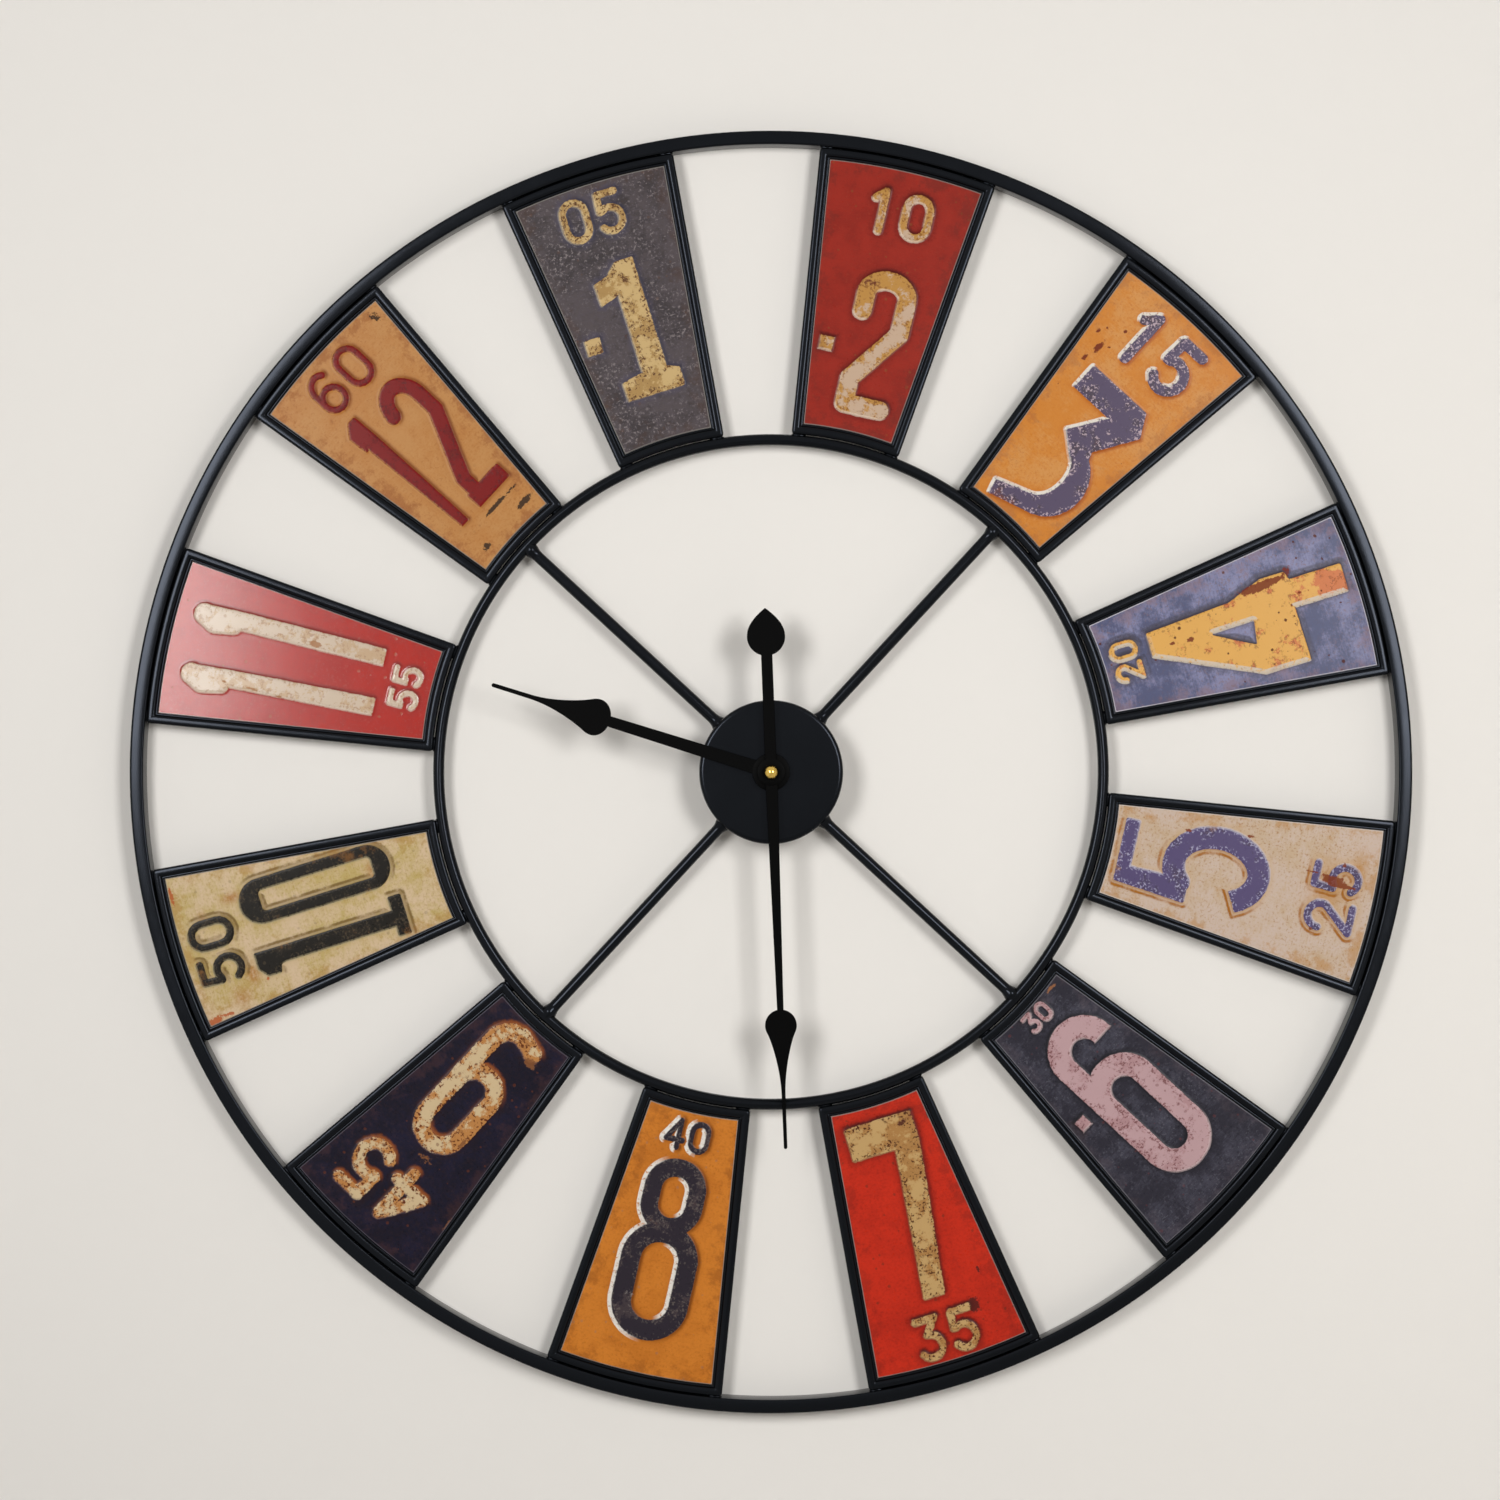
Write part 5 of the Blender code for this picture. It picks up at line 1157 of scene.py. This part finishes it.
# %% [markdown]
# ## The hands
# Spade hands are stamped from sheet: a slim shaft, a round base and a long point.  Each blade is a flat
# rounded section carried along the hand's length, and the section's width is the outline.  The boss is a
# separate turned ring, a little thicker, so the bore for the shafts stays open.

# %% Hand outlines
SPADE_TURN = math.radians(28)
SPADE_SHOULDER = 0.125
TAPER_BEND = 0.42
NEEDLE_SWELL = 1.1
BLADE_EASE, BLADE_DROP = 0.00025, 0.0002


def circle_edge(centre, radius, start, stop, count):
    turn = np.linspace(start, stop, count)
    return np.stack([radius * np.cos(turn), centre + radius * np.sin(turn)], 1)


def cubic(a, b, c, d, count):
    """Cubic curve (1-t)^3 a + 3t(1-t)^2 b + 3t^2(1-t) c + t^3 d."""
    t = np.linspace(0.0, 1.0, count)[:, None]
    a, b, c, d = (np.asarray(point, float) for point in (a, b, c, d))
    return (1 - t) ** 3 * a + 3 * t * (1 - t) ** 2 * b + 3 * t**2 * (1 - t) * c + t**3 * d


def spade_edge(start, start_half, neck_half, centre, radius, base_height, taper_end, tip, tip_half):
    """Half-width and distance from the axis: straight shaft, round base, cubic taper, needle, round tip."""
    base = circle_edge(centre, radius, -math.acos(neck_half / radius), SPADE_TURN, 24)
    base[:, 1] = np.where(base[:, 1] > centre, base[:, 1], centre + base_height * (base[:, 1] - centre))
    leave = base[-1]
    reach = taper_end - leave[1]
    handle = leave + SPADE_SHOULDER * reach * np.array([-math.sin(SPADE_TURN), math.cos(SPADE_TURN)])
    needle = tip_half * NEEDLE_SWELL
    taper = cubic(leave, handle, (needle, taper_end - TAPER_BEND * reach), (needle, taper_end), 24)
    point = circle_edge(tip - tip_half, tip_half, 0.0, math.radians(84), 7)
    return np.concatenate([[(start_half, start)], base, taper[1:], point])


def tail_edge(start, half, centre, radius, tip):
    """Half-width and distance of the tail: shaft, round base and a convex pointed end."""
    base = circle_edge(centre, radius, -math.acos(half / radius), 0.0, 16)
    reach = tip - centre
    bulge, waist = (radius, centre + 0.35 * reach), (0.7 * radius, centre + 0.64 * reach)
    point = cubic((radius, centre), bulge, waist, (2e-4, tip), 24)
    return np.concatenate([[(half, start)], base, point[1:]])


def add_blade(name, edge, low, high, clockwise, body, stands_for):
    """Flat blade: at each distance the section is a rectangle as wide as the outline, with eased front
    edges."""
    half, distance = edge[:, :1], edge[:, 1:]
    ease = np.minimum(BLADE_EASE, 0.45 * half)
    across = np.concatenate([-half, -half, -half + ease, half - ease, half, half], axis=1)
    depth = np.array([low, high - BLADE_DROP, high, high, high - BLADE_DROP, low])
    points = on_dial(across, distance, depth, clockwise)
    return add_piece(name, points, tube_faces(*across.shape), hand_coat, body, stands_for, crease=30)


hour_low, hour_high = depths("hour_hand")
minute_low, minute_high = depths("minute_hand")
BOSS_PROUD = 0.00006
print("hands at", round(hour_low, 4), "and", round(minute_low, 4), "m off the wall")

# %% Hands
HOUR_REST, MINUTE_REST = 334.65, 225.05
HOUR_BORE, HOUR_BOSS = 0.0029, 0.0115
MINUTE_BORE, MINUTE_BOSS = 0.0019, 0.0085
hour_blade = spade_edge(
    start=0.0095, start_half=0.0042, neck_half=0.0034, centre=0.1136, radius=0.01145, base_height=0.8,
    taper_end=0.1560, tip=0.1810, tip_half=0.00125,
)
minute_blade = spade_edge(
    start=0.0070, start_half=0.0037, neck_half=0.0020, centre=0.1565, radius=0.0098, base_height=1.0,
    taper_end=0.1995, tip=0.2328, tip_half=0.0011,
)
minute_tail = tail_edge(start=0.0070, half=0.0035, centre=0.0838, radius=0.0118, tip=0.1014)
add_blade("hour_blade", hour_blade, hour_low, hour_high, HOUR_REST, "hour_hand", ["hour_hand"])
hour_sizes = (HOUR_BORE, HOUR_BOSS, hour_low, hour_high + BOSS_PROUD)
add_washer("hour_boss", hand_coat, hour_sizes, "hour_hand", steps=64)
add_blade("minute_blade", minute_blade, minute_low, minute_high, MINUTE_REST, "minute_hand", ["minute_hand"])
add_blade("minute_tail", minute_tail, minute_low, minute_high, MINUTE_REST + 180, "minute_hand", [])
minute_sizes = (MINUTE_BORE, MINUTE_BOSS, minute_low, minute_high + BOSS_PROUD)
add_washer("minute_boss", hand_coat, minute_sizes, "minute_hand", steps=64)
print("minute hand of", len(minute_blade) + len(minute_tail), "stations")

# %% [markdown]
# ## The domed nut and the clamp
# A polished brass nut holds the minute hand.  It is a turned dome on a short collar with a fine groove,
# bored from behind.  Below the hands a hexagon nut and a washer clamp the movement; the bush they sit on
# has a thread, which is a radius that waves with the depth and the angle together.

# %% Domed nut
nut_low, nut_high = depths("cap_nut")
nut_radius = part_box("cap_nut")[1].x
NUT_EDGE = 0.0002
GROOVE = 0.00025
GROOVE_START, GROOVE_FLOOR, GROOVE_END = 0.0005, 0.0004, 0.0001
BORE_RADIUS, BORE_DEPTH = 0.0019, 0.0033
dome_turn = np.linspace(0.0, np.pi / 2, 16)
dome_base = nut_high - nut_radius
collar = [
    (0.0, nut_low + BORE_DEPTH), (BORE_RADIUS, nut_low + BORE_DEPTH), (BORE_RADIUS, nut_low),
    (nut_radius - NUT_EDGE, nut_low), (nut_radius, nut_low + NUT_EDGE),
    (nut_radius, dome_base - GROOVE_START), (nut_radius - GROOVE, dome_base - GROOVE_FLOOR),
    (nut_radius - GROOVE, dome_base - GROOVE_END),
]
dome = np.stack([nut_radius * np.cos(dome_turn), dome_base + nut_radius * np.sin(dome_turn)], 1)
nut_section = np.concatenate([collar, dome]).T
add_turned("domed_nut", nut_section, polished_brass, "minute_hand", ["cap_nut"], closed=False)
print("domed nut of", round(2000 * nut_radius, 1), "mm")

# %% Clamp nut, washers and bush
CLAMP_STEPS = 144
HEX_CORNER = 0.0080
HEX_CHAMFER = 0.0008
HEX_SPARE = 0.0001                     # keeps the chamfer's cone clear of corners and flats
BUSH_BORE, BUSH_RADIUS, FLANGE_RADIUS = 0.0029, 0.0040, 0.0060
HEX_BORE, WASHER_BORE = 0.0042, 0.0043
BRASS_RADIUS, RUBBER_RADIUS = 0.0085, 0.0095
FLANGE, RUN_OUT, LEAD_IN = 0.0010, 0.0022, 0.0003
PITCH = 0.0007
THREAD = 0.00018
turn = full_turn(CLAMP_STEPS)


def even(radius):
    return np.full_like(turn, radius)


hex_low, hex_high = depths("fixing_nut")
flat = HEX_CORNER * math.cos(math.pi / 6)
hexagon = flat / np.cos(np.mod(turn + np.pi / 6, np.pi / 3) - np.pi / 6)
chamfer = np.array([flat - HEX_SPARE, HEX_CORNER + HEX_SPARE, HEX_CORNER + HEX_SPARE, flat - HEX_SPARE])
hex_reach = np.concatenate([even(HEX_BORE), np.minimum(hexagon, chamfer), even(HEX_BORE)], axis=1)
hex_depth = np.array([hex_low, hex_low, hex_low + HEX_CHAMFER, hex_high - HEX_CHAMFER, hex_high, hex_high])
add_turned(
    "clamp_nut", (hex_reach, hex_depth), turned_brass, stands_for=["fixing_nut"], steps=CLAMP_STEPS,
    crease=25,
)
brass_sizes = (WASHER_BORE, BRASS_RADIUS, *depths("brass_washer"))
add_washer("clamp_washer", turned_brass, brass_sizes, stands_for=["brass_washer"])
rubber_sizes = (WASHER_BORE, RUBBER_RADIUS, *depths("rubber_washer"))
add_washer("sealing_washer", soft_rubber, rubber_sizes, stands_for=["rubber_washer"], ease=(0.0003, 4))

bush_low, bush_high = depths("threaded_bush")
thread_depth = np.linspace(bush_low + RUN_OUT, bush_high - LEAD_IN, 60)
wave = np.mod(thread_depth / PITCH - turn / (2 * np.pi), 1.0)
thread = BUSH_RADIUS - THREAD * np.abs(2 * wave - 1)
bush_reach = np.concatenate([
    even(BUSH_BORE), even(FLANGE_RADIUS), even(FLANGE_RADIUS), even(BUSH_RADIUS - THREAD), thread,
    even(BUSH_RADIUS - 2 * THREAD), even(BUSH_BORE),
], axis=1)
bush_depth = np.concatenate([
    [bush_low, bush_low, bush_low + FLANGE, bush_low + FLANGE], thread_depth, [bush_high, bush_high],
])
add_turned(
    "screwed_bush", (bush_reach, bush_depth), turned_brass, stands_for=["threaded_bush"], steps=CLAMP_STEPS,
)
print("clamp of four pieces")

# %% [markdown]
# ## The solids that keep their shape
# Case, cover, hanger and what is inside the case are right as they are.  A copy of each is merged into one
# skin and gets its edges eased by a Bevel modifier, because moulded and pressed edges catch the light.
# The small wheels inside stay as the frame brings them and only take a finish.

# %% Eased copies
def eased_copy(name, node, look, width, body="clock_frame", angle=30):
    """Copy of a solid with merged points and flat faces joined, and its sharp edges rounded over."""
    mesh = nodes[node].data.copy()
    shape = bmesh.new()
    shape.from_mesh(mesh)
    bmesh.ops.remove_doubles(shape, verts=shape.verts, dist=1e-6)
    bmesh.ops.dissolve_limit(shape, angle_limit=math.radians(1), verts=shape.verts, edges=shape.edges)
    shape.to_mesh(mesh)
    shape.free()
    mesh.name = name
    mesh.shade_smooth()
    mesh.set_sharp_from_angle(angle=math.radians(angle))
    piece = set_piece(name, mesh, look, body, [node])
    ease = piece.modifiers.new("eased edge", "BEVEL")
    ease.width = width
    ease.segments = 2
    ease.limit_method = "ANGLE"
    ease.angle_limit = math.radians(angle)
    ease.harden_normals = True
    return piece


SHEET_EDGE, MOULDED_EDGE, SPRING_EDGE = 0.0002, 0.0003, 0.0001
eased_copy("wall_hanger", "hanger_bracket", black_coat, SHEET_EDGE)
eased_copy("rear_case", "movement_case", case_plastic, MOULDED_EDGE)
eased_copy("rear_cover", "movement_cover", case_plastic, MOULDED_EDGE)
eased_copy("fluted_knob", "setting_knob", case_plastic, MOULDED_EDGE, body="setting_knob")
eased_copy("plus_contact", "contact_plus", spring_steel, SPRING_EDGE)
eased_copy("minus_contact", "contact_minus", spring_steel, SPRING_EDGE)
KEPT = {
    "motor_capsule": wheel_plastic, "drive_coil": coil_copper, "circuit_board": board_lacquer,
    "minute_arbor": turned_brass, "hour_wheel": wheel_plastic, "minute_wheel": wheel_plastic,
}
for node, look in KEPT.items():
    for place in nodes[node].material_slots:
        place.material = look
print("six eased copies and", len(KEPT), "solids kept")

# %% [markdown]
# ## The cell
# An AA cell sits in its bay at the back.  It is a turned can in a plastic sleeve, with a crimped steel end
# and a nub.  The sleeve is plain grey with one dark blue band; two values stored on the mesh tell the finish
# where the band lies and where bare steel begins.

# %% Cell finish
cell_group, given, made = new_group(
    "sleeved cell", {"Sleeve": "8C8E90", "Band": "2E4A6B", "Steel": "C4C4C0"}, {"Scuffs": 0.3},
    results=("Roughness", "Height", "Metal"),
)
length, bare = stored(cell_group, "length"), stored(cell_group, "bare")
scuff = clouds(object_place(cell_group), 520.0, 5.0, 0.65)
banded = soft_step(length, 37.8, 38.0) * soft_step(length, 46.2, 46.0)
sleeve = tint(banded, given("Sleeve"), given("Band"))
sleeve = tint(soft_step(scuff, 0.58, 0.7) * given("Scuffs"), sleeve, given("Steel"))
tint(bare, sleeve, given("Steel")).feed(made["Color"])
(scuff * 0.2 + 0.2).feed(made["Roughness"])
scuff.feed(made["Height"])
bare.larger(0.15).feed(made["Metal"])
cell_look = new_finish("cell sleeve", "cell_sleeve", cell_group, {}, bump=0.05)
print("cell finish")

# %% Cell
cell_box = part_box("battery")
cell_start, cell_end = cell_box[0].x, cell_box[1].x
cell_radius = (cell_box[1].z - cell_box[0].z) / 2
cell_height = (cell_box[1].z + cell_box[0].z) / 2
cell_depth = sum(depths("battery")) / 2
NUB_LENGTH, NUB_RADIUS = 0.0015, 0.0027
BARE_RADIUS = 0.0065                   # the sleeve is turned in up to here, and steel shows inside it
CELL_STEPS = 64
can = cell_end - cell_start - NUB_LENGTH
section = np.array([
    (0.0, 0.0003), (0.0042, 0.0003), (0.0050, 0.0), (0.0058, 0.0), (0.0062, 0.0003), (0.0066, 0.0003),
    (cell_radius - 0.0001, 0.0004), (cell_radius, 0.0009), (cell_radius, can - 0.0009),
    (cell_radius - 0.0001, can - 0.0004), (0.0064, can), (0.0060, can - 0.0005), (0.0036, can - 0.0005),
    (NUB_RADIUS, can - 0.0001), (NUB_RADIUS, can + NUB_LENGTH - 0.0004),
    (NUB_RADIUS - 0.0004, can + NUB_LENGTH), (0.0, can + NUB_LENGTH),
])
turn = full_turn(CELL_STEPS)
reach, length = section.T
points = np.stack(np.broadcast_arrays(
    cell_start + length, -cell_depth + reach * np.cos(turn), cell_height + reach * np.sin(turn),
), axis=-1)
marks = {
    "length": np.broadcast_to(length * 1000, points.shape[:2]),
    "bare": np.broadcast_to(reach < BARE_RADIUS, points.shape[:2]),
}
faces = grid_faces(CELL_STEPS, len(section), wrap_rows=True)
add_piece("sleeved_cell", points, faces, cell_look, "battery", ["battery"], marks=marks, crease=35)
print("cell", round(1000 * (cell_end - cell_start), 1), "mm long")

# %% [markdown]
# ## Stage and light
# The clock hangs before a pale wall that curves into a pale floor.  The wall is a profile of points carried
# sideways.  Seen from behind it would hide the clock, so its material lets rays through from the
# back, and lets them out again once they have come in that way.  Far from the lamps the stage glows a
# little for the camera, to stay pale.  Two soft lamps stand at the picture's left and right, two more
# behind, and the world fills the rest.

# %% Backdrop
WALL_GAP = 0.0006
FLOOR_DROP = 0.85
COVE = 0.5
WALL_HALF = 1.6
WALL_TOP = 1.5
FLOOR_HALF = 12.0
FAR_GLOW = 0.75
NEAR_END, FAR_START = 0.8, 1.5         # metres from the axis
PALE, DIM = linear("E4E0DA"), linear("6E6C69")
wall_y = cad_high.y + WALL_GAP
floor_z = cad_low.z - FLOOR_DROP
bend = np.linspace(0.0, np.pi / 2, 24)
sweep = np.concatenate([
    [(wall_y, WALL_TOP)],
    np.stack([wall_y - COVE * (1 - np.cos(bend)), floor_z + COVE * (1 - np.sin(bend))], 1),
    [(-FLOOR_HALF, floor_z)],
])
half_widths = np.concatenate([[WALL_HALF], np.linspace(WALL_HALF, FLOOR_HALF, len(bend)), [FLOOR_HALF]])
sideways = np.array([-1.0, 1.0])[:, None] * half_widths
points = np.stack(np.broadcast_arrays(sideways, sweep[:, 0], sweep[:, 1]), axis=-1)
mesh = bpy.data.meshes.new("backdrop")
mesh.from_pydata(points.reshape(-1, 3).tolist(), [], grid_faces(2, len(sweep)))
mesh.shade_smooth()
backdrop = bpy.data.objects.new("backdrop", mesh)
scene.collection.objects.link(backdrop)
pale = bpy.data.materials.new("pale backdrop")
pale.use_nodes = True
tree = pale.node_tree
shader = tree.nodes["Principled BSDF"]
shader.inputs["Roughness"].default_value = 0.9
shader.inputs["Specular IOR Level"].default_value = 0.1
shader.inputs["Emission Color"].default_value = PALE


def seen_directly(rays):
    """1 for what the camera sees, straight or in metal and glass, from a Light Path node's outputs."""
    straight = Wire(rays["Is Camera Ray"])
    return straight.larger(Wire(rays["Is Glossy Ray"])).larger(Wire(rays["Is Transmission Ray"]))


rays = tree.nodes.new("ShaderNodeLightPath").outputs
where = object_place(tree)
upright = place_node(tree, "SeparateXYZ", {0: where}, output=2).maths("GREATER_THAN", floor_z + COVE)
been_through = upright * Wire(rays["Transparent Depth"])
behind = place_node(tree, "NewGeometry", output=6)
through = behind.larger(been_through).larger(Wire(rays["Is Shadow Ray"]))
off_clock = place_node(tree, "VectorMath", {0: where}, output=1, operation="LENGTH")
far_seen = seen_directly(rays) * soft_step(off_clock, NEAR_END, FAR_START)
tint(far_seen, PALE, DIM).feed(shader.inputs["Base Color"])
(far_seen * FAR_GLOW).feed(shader.inputs["Emission Strength"])
mixture = {0: through, 1: Wire(shader.outputs[0]), 2: place_node(tree, "BsdfTransparent")}
place_node(tree, "MixShader", mixture).feed(tree.nodes["Material Output"].inputs["Surface"])
mesh.materials.append(pale)
print("backdrop normal", [round(value, 2) for value in mesh.polygons[0].normal])

# %% Lamps and world
LAMP_WIDTH, LAMP_LENGTH = 0.52, 0.80
LAMP_POWER = 20.0
LAMP_FRONT = 1.85
LAMP_LEFT, LAMP_RIGHT = 0.84, 0.86
LAMP_RAISE = 0.36
REAR_ASIDE, REAR_BACK, REAR_RAISE = 1.2, 1.9, 0.8


def add_lamp(name, place, power):
    """Soft lamp that looks at the clock, with its long side along the picture's height."""
    back = place.normalized()
    sideways = picture_top.cross(back).normalized()
    lamp = bpy.data.objects.new(name, bpy.data.lights.new(name, "AREA"))
    lamp.data.energy = power
    lamp.data.shape = "RECTANGLE"
    lamp.data.size = LAMP_WIDTH
    lamp.data.size_y = LAMP_LENGTH
    turned = Matrix((sideways, back.cross(sideways), back)).transposed().to_4x4()
    lamp.matrix_world = Matrix.Translation(place) @ turned
    scene.collection.objects.link(lamp)


ahead = Vector((0.0, -LAMP_FRONT, 0.0)) + LAMP_RAISE * picture_top
add_lamp("soft_left", ahead - LAMP_LEFT * picture_right, LAMP_POWER)
add_lamp("soft_right", ahead + LAMP_RIGHT * picture_right, LAMP_POWER)
for name, side in (("soft_behind_left", -1.0), ("soft_behind_right", 1.0)):
    add_lamp(name, Vector((REAR_ASIDE * side, REAR_BACK, REAR_RAISE)), LAMP_POWER)

WORLD_FILL = 0.14
world = bpy.data.worlds.new("studio")
world.use_nodes = True
scene.world = world
tree = world.node_tree
fill = tree.nodes["Background"]
fill.inputs["Color"].default_value = linear("FFFFFF")
fill.inputs["Strength"].default_value = WORLD_FILL
pale_sky = place_node(tree, "Background", {"Color": linear("EDEBE8"), "Strength": 1.0})
seen = seen_directly(tree.nodes.new("ShaderNodeLightPath").outputs)
mixture = {0: seen, 1: Wire(fill.outputs[0]), 2: pale_sky}
place_node(tree, "MixShader", mixture).feed(tree.nodes["World Output"].inputs["Surface"])
print("four lamps and a soft world")
